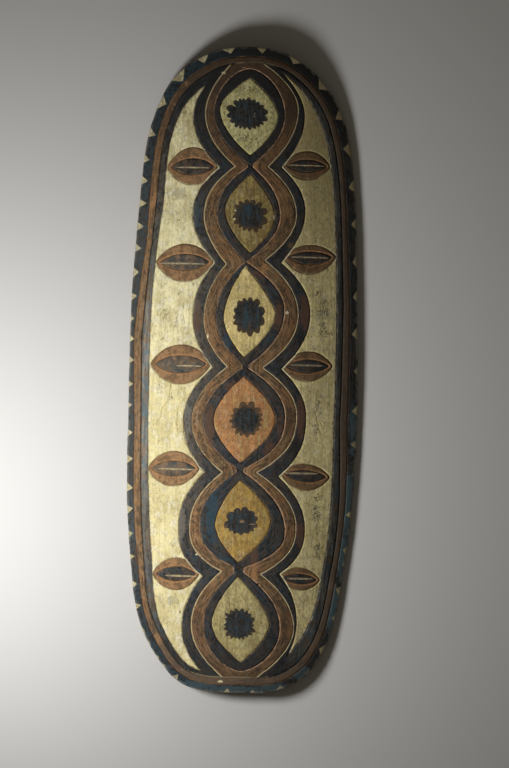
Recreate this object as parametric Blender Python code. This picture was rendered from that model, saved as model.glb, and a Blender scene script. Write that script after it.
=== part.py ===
"""Long oval shield carved from one board, lying on its back with the carved face up.

Metres, +Z up. The board's top points to +Y and its left side, as its carved face is seen, to -X.
The origin is on the surface that the shield lies on, below its middle. Marks of the carving are
given in thousandths of the board's width (across) and of its length (along), so that the carving
follows the board. Walls, grooves, bands and the grip have sizes of their own.
"""

import math
from collections import namedtuple

import bmesh
import bpy
import numpy as np
from mathutils import Vector
from mathutils.geometry import delaunay_2d_cdt

# Board
LENGTH = 1.400
WIDTH = 0.4975
CROWN = 0.066  # fall of the carved face from the middle line to the long edges
END_DROP = 0.030  # fall of the middle line from half length to either end
BOARD_THICKNESS = 0.018
EDGE_THICKNESS = 0.012
FRONT_ROUND = 0.25  # share of the edge's thickness worn off round the carved face
BACK_ROUND = 0.33  # and round the back

# Incised lines
GROOVE_WIDTH = 0.0042
GROOVE_DEPTH = 0.0020
EYE_SLIT_WIDTH = 0.0050

# How finely the curves and the camber are followed
CURVE_POINTS = 24  # on each half of a swelling line, before it is simplified
KNOT_POINTS = 12  # between two knots of the outline
CURVE_TOLERANCE = 0.0008  # how far a straight step may leave its curve
OUTLINE_STEP = 0.035  # spacing of points round the outline
FILL_STEP = 0.045  # spacing of the points that carry the camber between lines
FILL_CLEARANCE = 0.015  # least distance of such a point from a line
MERGE = 0.0002  # points nearer than this become one
MITRE = 0.55  # least cosine of half a turn, past which a bank's corner isn't drawn out
SMOOTH_ANGLE = 20  # degrees between faces that are shaded as one surface

# Painted border bands, from the outline inwards
RIM_BAND = 0.0187
BROWN_BAND = 0.0140
DARK_BAND = 0.0145

# Grip, carved from the same wood as the board, along the middle of the back
GRIP_WIDTH = 0.036
GRIP_THICKNESS = 0.022
GRIP_CHAMFER = 0.55  # share of half the bar's thickness cut off its corners
GRIP_SPAN = 0.150  # between the middles of its two feet
GRIP_BEND = 0.005  # radius inside its corners
FINGER_GAP = 0.038  # from the bar to the board's back
FOOT_WIDTH = 0.052  # across the board, where a foot meets it
FOOT_THICKNESS = 0.034  # along the board, at the same place
FOOT_SHARES = (1.0, 0.7, 0.35)  # heights up a foot where its flare has a section

Cell = namedtuple("Cell", "tips left right")
Side = namedtuple("Side", "lens inner brown dark lens_full full")
Waist = namedtuple("Waist", "crossing left right")
Eye = namedtuple("Eye", "outer inner top bottom slit")

# The outline as it was hewn, a little uneven, from the top to the left and round
OUTLINE = (
    (-30, 500), (-125, 496), (-240, 478), (-341, 446), (-403, 402), (-438, 358), (-459, 300),
    (-472, 240), (-488, 150), (-497, 40), (-496, -90), (-489, -230), (-467, -312), (-427, -392),
    (-345, -448), (-247, -485), (-120, -499), (20, -500), (150, -498), (265, -482), (367, -442),
    (425, -386), (456, -315), (477, -260), (490, -200), (503, -90), (497, 50), (481, 215),
    (467, 295), (440, 359), (385, 415), (297, 457), (190, 486), (70, 499),
)
MIDDLE = (max(mark[0] for mark in OUTLINE) + min(mark[0] for mark in OUTLINE)) / 2

# Widths of the rim, brown and dark bands as parts of their named sizes, by the angle round the
# board in degrees, from the middle of its right side over the top
BAND_PLACES = (
    (12, 0.87, 1.00, 0.96), (29, 1.14, 0.77, 0.87), (41, 1.12, 0.92, 1.00), (48, 1.12, 0.93, 1.10),
    (56, 1.10, 0.93, 0.82), (64, 1.10, 0.93, 0.70), (91, 1.11, 0.90, 0.62), (118, 1.22, 1.12, 1.40),
    (128, 1.20, 1.12, 1.35), (134, 1.12, 1.05, 1.10), (140, 1.10, 1.04, 0.97), (151, 1.15, 1.11, 1.06),
    (158, 1.28, 0.84, 0.85), (167, 0.84, 1.10, 0.92), (175, 0.53, 1.17, 1.24), (190, 0.76, 1.03, 1.06),
    (203, 0.82, 1.11, 1.20), (212, 0.82, 0.99, 1.20), (218, 0.88, 0.86, 1.06), (224, 0.88, 0.97, 0.85),
    (234, 0.86, 0.95, 0.84), (246, 0.90, 1.00, 0.80), (268, 0.96, 1.10, 0.62), (297, 0.90, 1.12, 1.72),
    (309, 0.84, 1.10, 1.90), (315, 0.82, 1.06, 1.50), (321, 0.78, 0.98, 1.16), (328, 0.76, 0.86, 1.16),
    (338, 0.77, 0.98, 1.16), (351, 1.14, 1.20, 0.82),
)

# The corners where each cream field runs out between the border and the chain, as angles
FIELD_CORNERS = {"left": (114.3, 251.2), "right": (72.7, -63.0)}

# The waists of the chain from the top down: where the two inner lines cross, then on each side
# the cusps of the brown band and of the dark band outside it
WAISTS = (
    Waist((-2, 466), ((-116, 459), (-187, 445)), ((91, 466), (144, 461))),
    Waist((12, 316), ((-54, 314), (-119, 312)), ((86, 315), (145, 315))),
    Waist((0, 167), ((-84, 163), (-131, 165)), ((83, 170), (155, 167))),
    Waist((11, 5), ((-68, 4), (-129, 3)), ((83, 4), (166, 3))),
    Waist((-2, -155), ((-79, -159), (-157, -159)), ((69, -158), (164, -163))),
    Waist((2, -308), ((-73, -312), (-151, -320)), ((96, -315), (179, -314))),
    Waist((19, -466), ((-84, -468), (-158, -465)), ((131, -464), (213, -450))),
)

# The cells of the chain from the top down: the tips of the lens, then for each side the widest
# places of the lens, the inner line, the brown band and the dark band, and how full the curves
# are above and below them, first of the lens and then of the bands
CELLS = (
    Cell(
        ((2, 452), (9, 332)),
        Side((-126, 403), (-152, 398), (-190, 396), (-241, 392), (1.7, 1.8), (1.9, 2.0)),
        Side((127, 393), (155, 395), (213, 403), (243, 393), (1.7, 1.7), (1.9, 2.0)),
    ),
    Cell(
        ((15, 303), (19, 181)),
        Side((-94, 247), (-129, 238), (-185, 235), (-234, 235), (1.7, 1.7), (2.4, 1.7)),
        Side((124, 237), (145, 236), (215, 238), (255, 243), (1.7, 1.7), (2.2, 1.8)),
    ),
    Cell(
        ((0, 161), (2, 20)),
        Side((-88, 80), (-123, 81), (-175, 79), (-222, 84), (1.7, 1.7), (2.1, 2.1)),
        Side((137, 89), (174, 91), (233, 86), (287, 88), (1.3, 1.7), (2.1, 2.1)),
    ),
    Cell(
        ((6, -10), (-4, -143)),
        Side((-122, -79), (-168, -79), (-217, -81), (-253, -81), (1.8, 1.7), (2.1, 2.1)),
        Side((148, -76), (188, -72), (237, -70), (280, -73), (1.7, 1.7), (2.1, 2.6)),
    ),
    Cell(
        ((-1, -170), (0, -298)),
        Side((-104, -240), (-171, -236), (-216, -242), (-263, -242), (1.7, 1.7), (2.1, 2.8)),
        Side((138, -233), (199, -249), (246, -243), (286, -246), (1.7, 1.7), (2.1, 2.5)),
    ),
    Cell(
        ((0, -320), (22, -453)),
        Side((-109, -393), (-145, -393), (-199, -395), (-239, -400), (1.7, 1.7), (2.1, 2.0)),
        Side((143, -393), (187, -400), (246, -400), (260, -391), (1.5, 1.6), (2.1, 1.9)),
    ),
)
ARCH = 0.6  # how round the inner line runs over the top of the chain and under its bottom

# The leaf-shaped eyes between the border and the chain: their two points, the heights of their
# upper and lower edges, and the ends and height of the slit
EYES = (
    Eye((-351, 311), (-128, 313), 343, 285, (-311, -168, 311)),
    Eye((-390, 164), (-138, 166), 193, 135, (-371, -176, 162)),
    Eye((-404, 6), (-138, 8), 37, -24, (-289, -184, 4)),
    Eye((-405, -156), (-178, -154), -128, -182, (-360, -199, -156)),
    Eye((-373, -319), (-168, -317), -293, -343, (-317, -181, -321)),
    Eye((360, 318), (156, 317), 341, 297, (333, 173, 318)),
    Eye((395, 178), (166, 176), 196, 151, (357, 197, 176)),
    Eye((391, 9), (173, 7), 31, -15, (347, 201, 9)),
    Eye((390, -163), (179, -159), -143, -184, (338, 190, -158)),
    Eye((357, -323), (183, -320), -304, -339, (324, 213, -321)),
)
EYE_FULL = 2.1
EYE_BLUNT = 0.85  # under 1, the points are blunt
PUPIL_REACH = 0.84  # the inner leaf's share of the eye's width
PUPIL_HEIGHT = 0.44  # and of its height


def metres(mark):
    """A mark in thousandths of the width and of the length, as a point in metres."""
    return np.array(((mark[0] - MIDDLE) * WIDTH / 1000, mark[1] * LENGTH / 1000))


def smooth_loop(knots, steps):
    """Points on the closed curve with even curvature through the knots."""
    knots = np.array(knots)
    count = len(knots)
    span = np.linalg.norm(np.roll(knots, -1, 0) - knots, axis=1)
    system = np.zeros((count, count))
    right = np.zeros((count, 2))
    for i in range(count):
        before, after = i - 1, (i + 1) % count
        system[i, before] = 1 / span[before]
        system[i, i] = 2 / span[before] + 2 / span[i]
        system[i, after] = 1 / span[i]
        coming = (knots[i] - knots[before]) / span[before] ** 2
        going = (knots[after] - knots[i]) / span[i] ** 2
        right[i] = 3 * (coming + going)
    slopes = np.linalg.solve(system, right)
    t = np.linspace(0, 1, steps, endpoint=False)[:, None]
    loop = []
    for i in range(count):
        after = (i + 1) % count
        start, end = slopes[i] * span[i], slopes[after] * span[i]
        rise = 3 * t**2 - 2 * t**3
        stretch = (1 - rise) * knots[i] + rise * knots[after]
        loop.append(stretch + t * (1 - t) * ((1 - t) * start - t * end))
    return np.concatenate(loop)


def lengths_along(line):
    steps = np.linalg.norm(np.diff(line, axis=0), axis=1)
    return np.concatenate(((0,), np.cumsum(steps)))


def evenly(line, count):
    """The line as this many equal steps."""
    along = lengths_along(line)
    places = np.linspace(0, along[-1], count + 1)
    return np.column_stack([np.interp(places, along, line[:, axis]) for axis in (0, 1)])


def simplified(line, tolerance):
    """The line with as few of its points as keep it within the tolerance."""
    if len(line) < 3:
        return line
    chord = line[-1] - line[0]
    size = np.linalg.norm(chord)
    away = line - line[0]
    if size > tolerance:
        off = np.abs(away[:, 0] * chord[1] - away[:, 1] * chord[0]) / size
    else:
        off = np.linalg.norm(away, axis=1)
    furthest = int(off.argmax())
    if off[furthest] <= tolerance:
        return line[[0, -1]]
    first = simplified(line[: furthest + 1], tolerance)
    second = simplified(line[furthest:], tolerance)
    return np.concatenate((first[:-1], second))


def closed(line):
    return np.concatenate((line, line[:1]))


def normals_of(line, is_loop):
    """Unit normals to the left of travel, lengthened at corners so that an offset keeps its width."""
    if is_loop:
        before = line - np.roll(line, 1, 0)
        after = np.roll(line, -1, 0) - line
    else:
        steps = np.diff(line, axis=0)
        before = np.concatenate((steps[:1], steps))
        after = np.concatenate((steps, steps[-1:]))
    before = before / np.linalg.norm(before, axis=1)[:, None]
    after = after / np.linalg.norm(after, axis=1)[:, None]
    turned = before + after
    turned = turned / np.linalg.norm(turned, axis=1)[:, None]
    stretch = 1 / np.maximum((turned * after).sum(1), MITRE)
    return np.column_stack((-turned[:, 1], turned[:, 0])) * stretch[:, None]


def outline_curve():
    return smooth_loop([metres(mark) for mark in OUTLINE], KNOT_POINTS)


def angle_of(points):
    """Angle round the board, in degrees, with its width and length taken as equal."""
    return np.degrees(np.arctan2(points[:, 1] / LENGTH, points[:, 0] / WIDTH)) % 360


def band_edges():
    """The three border lines as closed curves: rim to brown, brown to dark, dark to the fields."""
    line = outline_curve()
    inwards = normals_of(line, True)
    angles = angle_of(line)
    table = np.array(BAND_PLACES)
    depth = np.zeros(len(line))
    edges = []
    for column, width in enumerate((RIM_BAND, BROWN_BAND, DARK_BAND), 1):
        depth = depth + width * np.interp(angles, table[:, 0], table[:, column], period=360)
        edges.append(line + inwards * depth[:, None])
    return edges


def stretch_between(loop, start, end):
    """The part of a closed border line from one angle to another, counted over the top."""
    angles = angle_of(loop)
    turn = (angles - start) % 360
    order = np.argsort(turn)
    loop, turn = loop[order], turn[order]
    reach = (end - start) % 360
    places = np.concatenate(((0,), turn[(turn > 0) & (turn < reach)], (reach,)))
    return np.column_stack([np.interp(places, turn, loop[:, axis], period=360) for axis in (0, 1)])


def place_at(loop, angle):
    """Where a closed border line passes this angle."""
    return stretch_between(loop, angle, angle + 1)[0]


def bulge(start, swell, full, round_end=1.0):
    """Half of a swelling line, from its end to its widest place."""
    share = np.sin(np.linspace(math.pi / 2, 0, CURVE_POINTS))
    along = swell[1] + (start[1] - swell[1]) * share
    across = start[0] + (swell[0] - start[0]) * (1 - share**full) ** round_end
    return np.column_stack((across, along))


def swelling(top, swell, bottom, full, ends=(1.0, 1.0)):
    upper = bulge(top, swell, full[0], ends[0])
    lower = bulge(bottom, swell, full[1], ends[1])
    return np.concatenate((upper, lower[-2::-1]))


def joined(lines):
    return np.concatenate([lines[0]] + [line[1:] for line in lines[1:]])


def inner_line(index, name):
    """The line outside the lens of one cell, on one side."""
    side = getattr(CELLS[index], name)
    ends = (
        ARCH if index == 0 else 1.0,
        ARCH if index == len(CELLS) - 1 else 1.0,
    )
    top = metres(WAISTS[index].crossing)
    bottom = metres(WAISTS[index + 1].crossing)
    return swelling(top, metres(side.inner), bottom, side.full, ends)


def weaving_lines():
    """The two inner lines, which change sides at each waist."""
    found = []
    for start in (0, 1):
        names = [("left", "right")[(index + start) % 2] for index in range(len(CELLS))]
        found.append(joined([inner_line(index, name) for index, name in enumerate(names)]))
    return found


def band_line(name, which):
    """The brown band's outer line (which = 0) or the dark band's (1), down one side of the chain."""
    ends = [metres(getattr(waist, name)[which]) for waist in WAISTS]
    if which == 1:
        fields = band_edges()[2]
        top, bottom = FIELD_CORNERS[name]
        ends[0] = place_at(fields, top)
        ends[-1] = place_at(fields, bottom)
    stretches = []
    for index, cell in enumerate(CELLS):
        side = getattr(cell, name)
        swell = metres(side.dark if which else side.brown)
        stretches.append(swelling(ends[index], swell, ends[index + 1], side.full))
    return joined(stretches)


def lens_loop(cell):
    top, bottom = (metres(tip) for tip in cell.tips)
    left = swelling(top, metres(cell.left.lens), bottom, cell.left.lens_full)
    right = swelling(top, metres(cell.right.lens), bottom, cell.right.lens_full)
    return np.concatenate((left, right[-2:0:-1]))


def leaf_loop(eye, reach, height):
    """A leaf shape inside an eye, with these shares of its width and height."""
    outer, inner = metres(eye.outer), metres(eye.inner)
    middle = (outer + inner) / 2
    share = np.sin(np.linspace(-math.pi / 2, math.pi / 2, 2 * CURVE_POINTS - 1))
    spine = middle + (inner - outer) / 2 * share[:, None] * reach
    full = (1 - np.abs(share) ** EYE_FULL) ** EYE_BLUNT * height
    rise = eye.top * LENGTH / 1000 - middle[1]
    fall = eye.bottom * LENGTH / 1000 - middle[1]
    upper = spine + np.column_stack((np.zeros(len(full)), rise * full))
    lower = spine + np.column_stack((np.zeros(len(full)), fall * full))
    return np.concatenate((upper, lower[-2:0:-1]))


def slit_line(eye):
    outer, inner, along = eye.slit
    return np.array((metres((outer, along)), metres((inner, along))))


def grooves():
    """Every incised line: its points, whether it is closed, and its width."""
    rim, brown, dark = band_edges()
    lines = [(rim, True, GROOVE_WIDTH), (brown, True, GROOVE_WIDTH)]
    for name, (top, bottom) in FIELD_CORNERS.items():
        first, last = (top, bottom) if name == "left" else (bottom, top)
        lines.append((stretch_between(dark, first, last), False, GROOVE_WIDTH))
        lines.append((band_line(name, 0), False, GROOVE_WIDTH))
        lines.append((band_line(name, 1), False, GROOVE_WIDTH))
    lines += [(line, False, GROOVE_WIDTH) for line in weaving_lines()]
    lines += [(lens_loop(cell), True, GROOVE_WIDTH) for cell in CELLS]
    for eye in EYES:
        lines.append((leaf_loop(eye, 1, 1), True, GROOVE_WIDTH))
        lines.append((leaf_loop(eye, PUPIL_REACH, PUPIL_HEIGHT), True, GROOVE_WIDTH))
        lines.append((slit_line(eye), False, EYE_SLIT_WIDTH))
    coarse = []
    for line, is_loop, width in lines:
        whole = closed(line) if is_loop else line
        kept = simplified(whole, CURVE_TOLERANCE)
        coarse.append((kept[:-1] if is_loop else kept, is_loop, width))
    return coarse


def distance_to(points, line):
    """Distance from each point to a line of straight steps."""
    start, step = line[:-1], np.diff(line, axis=0)
    away = points[:, None] - start
    share = (away * step).sum(2) / (step**2).sum(1)
    near = away - np.clip(share, 0, 1)[..., None] * step
    return np.sqrt((near**2).sum(2)).min(1)


def cut_depth(points, lines):
    """How deep the incised lines go at each point."""
    depth = np.zeros(len(points))
    for line, is_loop, width in lines:
        whole = closed(line) if is_loop else line
        away = distance_to(points, whole)
        depth = np.maximum(depth, GROOVE_DEPTH * (1 - away / (width / 2)))
    return depth


def fall(points):
    """How far the uncut face lies below its highest point."""
    across = points[:, 0] / (WIDTH / 2)
    along = points[:, 1] / (LENGTH / 2)
    return CROWN * across**2 + END_DROP * along**2


def thickness(points):
    across = np.clip(1 - (points[:, 0] / (WIDTH / 2)) ** 2, 0, 1)
    along = np.clip(1 - (points[:, 1] / (LENGTH / 2)) ** 4, 0, 1)
    return EDGE_THICKNESS + (BOARD_THICKNESS - EDGE_THICKNESS) * across * along


def edge_ring(inset):
    line = closed(outline_curve())
    count = round(lengths_along(line)[-1] / OUTLINE_STEP)
    ring = evenly(line, count)[:-1]
    return ring + normals_of(ring, True) * inset


def fill_points(ring, lines):
    """A grid of points inside the ring, clear of it and of the lines."""
    across = np.arange(-WIDTH / 2, WIDTH / 2, FILL_STEP) + FILL_STEP / 2
    along = np.arange(-LENGTH / 2, LENGTH / 2, FILL_STEP) + FILL_STEP / 2
    grid = np.array([(x, y) for y in along for x in across])
    start, end = ring, np.roll(ring, -1, 0)
    level = grid[:, None, 1]
    crossing = (start[:, 1] > level) != (end[:, 1] > level)
    rise = np.where(start[:, 1] == end[:, 1], 1, end[:, 1] - start[:, 1])
    meets = start[:, 0] + (level - start[:, 1]) / rise * (end[:, 0] - start[:, 0])
    inside = (crossing & (grid[:, None, 0] < meets)).sum(1) % 2 == 1
    grid = grid[inside]
    for line, is_loop, _ in [(ring, True, 0)] + lines:
        whole = closed(line) if is_loop else line
        grid = grid[distance_to(grid, whole) > FILL_CLEARANCE]
    return grid


def groove_banks(line, is_loop, width):
    """The two banks of a groove, as one loop each, or as one loop round an open groove."""
    sideways = normals_of(line, is_loop) * (width / 2)
    if is_loop:
        return [line + sideways, line - sideways]
    first = line[0] - line[1]
    last = line[-1] - line[-2]
    start = line[0] + first / np.linalg.norm(first) * (width / 2)
    end = line[-1] + last / np.linalg.norm(last) * (width / 2)
    return [np.concatenate((line + sideways, (end,), (line - sideways)[::-1], (start,)))]


def triangulated(ring, lines, extra):
    """Triangles inside the ring that keep to the grooves' floors and banks."""
    points, edges = [], []

    def add(line, is_loop):
        first = len(points)
        points.extend(line)
        count = len(line)
        edges.extend((first + i, first + (i + 1) % count) for i in range(count if is_loop else count - 1))

    add(ring, True)
    for line, is_loop, width in lines:
        add(line, is_loop)
        for bank in groove_banks(line, is_loop, width):
            add(bank, True)
    points.extend(extra)
    face = [list(range(len(ring)))]
    flat = [Vector((float(x), float(y))) for x, y in points]
    spread, _, faces, origins, _, covers = delaunay_2d_cdt(flat, edges, face, 1, MERGE, True)
    inside = [face for face, cover in zip(faces, covers) if cover]
    return np.array([tuple(point) for point in spread]), inside, origins


def board_mesh():
    """The board: carved front, rounded edge and hollow back."""
    lines = grooves()
    front_round = EDGE_THICKNESS * FRONT_ROUND
    back_round = EDGE_THICKNESS * BACK_ROUND
    front_ring = edge_ring(front_round)
    back_ring = edge_ring(back_round)
    outer_ring = edge_ring(0)
    height = stand_height()

    mesh = bmesh.new()

    def place(points, below):
        levels = height - fall(points) - below
        return [mesh.verts.new((x, y, z)) for (x, y), z in zip(points, levels)]

    def surface(ring, cuts, below, upwards):
        spread, faces, origins = triangulated(ring, cuts, fill_points(ring, cuts))
        verts = place(spread, below(spread))
        for face in faces:
            turned = face if upwards else face[::-1]
            mesh.faces.new([verts[i] for i in turned])
        by_origin = {}
        for index, sources in enumerate(origins):
            for source in sources:
                by_origin[source] = verts[index]
        return [by_origin[i] for i in range(len(ring))]

    rings = [
        surface(front_ring, lines, lambda points: cut_depth(points, lines), True),
        place(outer_ring, np.full(len(outer_ring), front_round)),
        place(outer_ring, np.full(len(outer_ring), EDGE_THICKNESS - back_round)),
        surface(back_ring, [], thickness, False),
    ]
    count = len(outer_ring)
    for upper, lower in zip(rings, rings[1:]):
        for i in range(count):
            k = (i + 1) % count
            mesh.faces.new((upper[k], upper[i], lower[i], lower[k]))
    return mesh


def stand_height():
    """Height of the carved face's highest point, with the lowest part of the shield on the floor."""
    ring = edge_ring(EDGE_THICKNESS * BACK_ROUND)
    by_edge = (fall(ring) + thickness(ring)).max()
    by_grip = BOARD_THICKNESS + FINGER_GAP + GRIP_THICKNESS
    return max(by_edge, by_grip)


def grip_path():
    """Middle line of the grip, in the plane across the middle of the board, with its widths."""
    board_back = stand_height() - BOARD_THICKNESS
    bar = board_back - FINGER_GAP - GRIP_THICKNESS / 2
    half = GRIP_SPAN / 2
    bend = GRIP_BEND + GRIP_THICKNESS / 2
    bend_top = bar + bend
    path = [(half, board_back + BOARD_THICKNESS / 2, FOOT_WIDTH, FOOT_THICKNESS)]
    for share in FOOT_SHARES:
        up = bend_top + (board_back - bend_top) * share
        wide = GRIP_WIDTH + (FOOT_WIDTH - GRIP_WIDTH) * share**2
        thick = GRIP_THICKNESS + (FOOT_THICKNESS - GRIP_THICKNESS) * share**2
        path.append((half, up, wide, thick))
    for turn in np.linspace(0, math.pi / 2, 4):
        along = half - bend + bend * math.cos(turn)
        up = bend_top - bend * math.sin(turn)
        path.append((along, up, GRIP_WIDTH, GRIP_THICKNESS))
    return path + [(-along, up, wide, thick) for along, up, wide, thick in reversed(path)]


def grip_mesh():
    """A bar with chamfered corners swept along the path, its ends inside the board."""
    path = np.array(grip_path())
    middle = path[:, :2]
    sideways = normals_of(middle, False)
    sideways = sideways / np.linalg.norm(sideways, axis=1)[:, None]
    mesh = bmesh.new()
    rings = []
    for (along, up, wide, thick), (turn_y, turn_z) in zip(path, sideways):
        half_wide, half_thick = wide / 2, thick / 2
        cut = half_thick * GRIP_CHAMFER
        corners = (
            (half_wide, half_thick - cut), (half_wide - cut, half_thick),
            (cut - half_wide, half_thick), (-half_wide, half_thick - cut),
            (-half_wide, cut - half_thick), (cut - half_wide, -half_thick),
            (half_wide - cut, -half_thick), (half_wide, cut - half_thick),
        )
        rings.append(
            [mesh.verts.new((x, along + n * turn_y, up + n * turn_z)) for x, n in corners]
        )
    for first, second in zip(rings, rings[1:]):
        for i, corner in enumerate(first):
            k = (i + 1) % len(first)
            mesh.faces.new((corner, first[k], second[k], second[i]))
    mesh.faces.new(rings[0][::-1])
    mesh.faces.new(rings[-1])
    bmesh.ops.recalc_face_normals(mesh, faces=mesh.faces)
    return mesh


def painted_wood():
    material = bpy.data.materials.new("painted_wood")
    material.use_nodes = True
    shader = material.node_tree.nodes["Principled BSDF"]
    shader.inputs["Base Color"].default_value = (0.42, 0.34, 0.20, 1)
    shader.inputs["Roughness"].default_value = 0.8
    shader.inputs["Metallic"].default_value = 0
    return material


def object_from(mesh, name, material):
    data = bpy.data.meshes.new(name)
    mesh.to_mesh(data)
    mesh.free()
    data.materials.append(material)
    data.shade_smooth()
    data.set_sharp_from_angle(angle=math.radians(SMOOTH_ANGLE))
    shape = bpy.data.objects.new(name, data)
    bpy.context.scene.collection.objects.link(shape)
    return shape


def main():
    for old in list(bpy.data.objects):
        bpy.data.objects.remove(old, do_unlink=True)
    wood = painted_wood()
    board = object_from(board_mesh(), "shield_board", wood)
    grip = object_from(grip_mesh(), "grip_shape", wood)
    grip.hide_render = True
    grip.display_type = "WIRE"
    union = board.modifiers.new("grip", "BOOLEAN")
    union.operation = "UNION"
    union.solver = "EXACT"
    union.object = grip


main()
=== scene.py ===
import math

import bpy
import numpy as np
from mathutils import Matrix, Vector, kdtree, noise
from mathutils.geometry import delaunay_2d_cdt


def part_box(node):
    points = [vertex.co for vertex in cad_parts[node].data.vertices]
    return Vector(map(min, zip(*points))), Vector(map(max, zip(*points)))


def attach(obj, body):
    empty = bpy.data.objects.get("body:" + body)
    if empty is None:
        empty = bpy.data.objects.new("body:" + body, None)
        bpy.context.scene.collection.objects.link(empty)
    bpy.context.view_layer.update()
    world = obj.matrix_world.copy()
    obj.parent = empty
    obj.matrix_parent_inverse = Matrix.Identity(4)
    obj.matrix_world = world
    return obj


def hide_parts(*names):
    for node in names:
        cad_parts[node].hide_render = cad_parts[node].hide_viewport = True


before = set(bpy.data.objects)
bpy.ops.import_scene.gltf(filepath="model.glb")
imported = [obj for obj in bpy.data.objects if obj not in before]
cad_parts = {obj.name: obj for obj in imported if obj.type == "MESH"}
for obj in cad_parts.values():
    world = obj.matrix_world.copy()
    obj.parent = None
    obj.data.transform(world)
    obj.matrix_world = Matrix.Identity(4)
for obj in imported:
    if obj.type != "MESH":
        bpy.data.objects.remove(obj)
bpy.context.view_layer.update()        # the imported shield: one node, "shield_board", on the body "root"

# The board: sizes in metres, marks in thousandths of its width (across) and length (along)
board = dict(
    node="shield_board",
    slot="painted_wood",
    crown=0.066,            # fall of the face to the long edges
    endDrop=0.030,          # and to the two ends
    thick=0.018,
    edgeThick=0.012,
    frontRound=0.0030,
    backRound=0.0040,
    ragged=0.0009,
    middle=3,
    outline=[
        (-30, 500), (-125, 496), (-240, 478), (-341, 446), (-403, 402), (-438, 358), (-459, 300),
        (-472, 240), (-488, 150), (-497, 40), (-496, -90), (-489, -230), (-467, -312), (-427, -392),
        (-345, -448), (-247, -485), (-120, -499), (20, -500), (150, -498), (265, -482), (367, -442),
        (425, -386), (456, -315), (477, -260), (490, -200), (503, -90), (497, 50), (481, 215),
        (467, 295), (440, 359), (385, 415), (297, 457), (190, 486), (70, 499),
    ],
)

# How finely the mesh is divided: steps in metres, where a note says nothing else
meshing = dict(
    fine=0.001,             # along a line that distances are taken from
    line=0.0036,            # along the cuts, the painted teeth and the edge
    face=0.0046,            # between them
    back=0.0075,
    merge=0.00025,          # points nearer than this become one
    clear=0.0013,           # between a loose point and a painted line
    offsets=(0.55, 1.0, 1.5),    # rows of points beside a cut, in half widths
    outlineSteps=24,        # how many from one mark of the outline to the next
    bulgeSteps=40,          # from a waist to the widest place of a lens or band
    leafSteps=60,           # along one side of an eye
    rowGap=0.866,           # between staggered rows, as a share of the step in a row
    stray=0.3,              # how far a point may stray from its place in a row, in steps
    fromEdge=0.6,           # how far rows stay from the edge, in steps
    apart=0.45,             # and from other points
    corner=(30, 60, 90),    # where the rings round a worn corner lie, in degrees
    flank=(0.35, 0.65, 1.0),    # and down the side between the corners
    holeRings=(0.3, 0.65, 0.95, 1.25, 1.7),    # rings of points in a hole, in its radii
    holeSides=12,
    sharp=50,               # degrees between two faces past which their edge isn't shaded smooth
    nudge=1e-9,             # less than any distance that matters
)

# The cuts: V grooves, hewn with a narrow blade
cuts = dict(
    width=0.0042,
    depth=0.0020,
    slitWidth=0.0050,
    crackWidth=0.0016,
    crackDepth=0.0014,
    floor=0.93,             # how much of the depth is in the V itself
    shoulder=0.28,          # how strongly its two edges are worn round
    uneven=0.35,            # how much the depth changes along a cut
)

# The unevenness of the wood: how many waves or scoops go to a metre across and along, and their depth
relief = dict(
    hewn=((14, 9), 0.0007),
    hewnFine=((70, 35), 0.00030),
    scoops=(34, 19),        # of the adze, on the back
    scoopDepth=0.0011,
    back=((12, 7), 0.0007),
    backEdge=0.02,          # the scoops fade out this far from the edge
    edge=(30, 110),         # broad and fine waves round the outline
)

# The border: band widths in metres, and their changes by the angle round the board
border = dict(
    rim=0.0187,
    brown=0.0140,
    dark=0.0145,
    places=[
        (12, 0.87, 1.00, 0.96), (29, 1.14, 0.77, 0.87), (41, 1.12, 0.92, 1.00), (48, 1.12, 0.93, 1.10),
        (56, 1.10, 0.93, 0.82), (64, 1.10, 0.93, 0.70), (91, 1.11, 0.90, 0.62), (118, 1.22, 1.12, 1.40),
        (128, 1.20, 1.12, 1.35), (134, 1.12, 1.05, 1.10), (140, 1.10, 1.04, 0.97), (151, 1.15, 1.11, 1.06),
        (158, 1.28, 0.84, 0.85), (167, 0.84, 1.10, 0.92), (175, 0.53, 1.17, 1.24), (190, 0.76, 1.03, 1.06),
        (203, 0.82, 1.11, 1.20), (212, 0.82, 0.99, 1.20), (218, 0.88, 0.86, 1.06), (224, 0.88, 0.97, 0.85),
        (234, 0.86, 0.95, 0.84), (246, 0.90, 1.00, 0.80), (268, 0.96, 1.10, 0.62), (297, 0.90, 1.12, 1.72),
        (309, 0.84, 1.10, 1.90), (315, 0.82, 1.06, 1.50), (321, 0.78, 0.98, 1.16), (328, 0.76, 0.86, 1.16),
        (338, 0.77, 0.98, 1.16), (351, 1.14, 1.20, 0.82),
    ],
    corners=dict(left=(114.3, 251.2), right=(72.7, -63.0)),    # where a cream field runs out
)

low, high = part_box(board["node"])
width, length, faceTop = high.x - low.x, high.y - low.y, high.z


def place(mark):        # a mark as a point in metres
    return np.array(((mark[0] - board["middle"]) * width / 1000, mark[1] * length / 1000))


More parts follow.
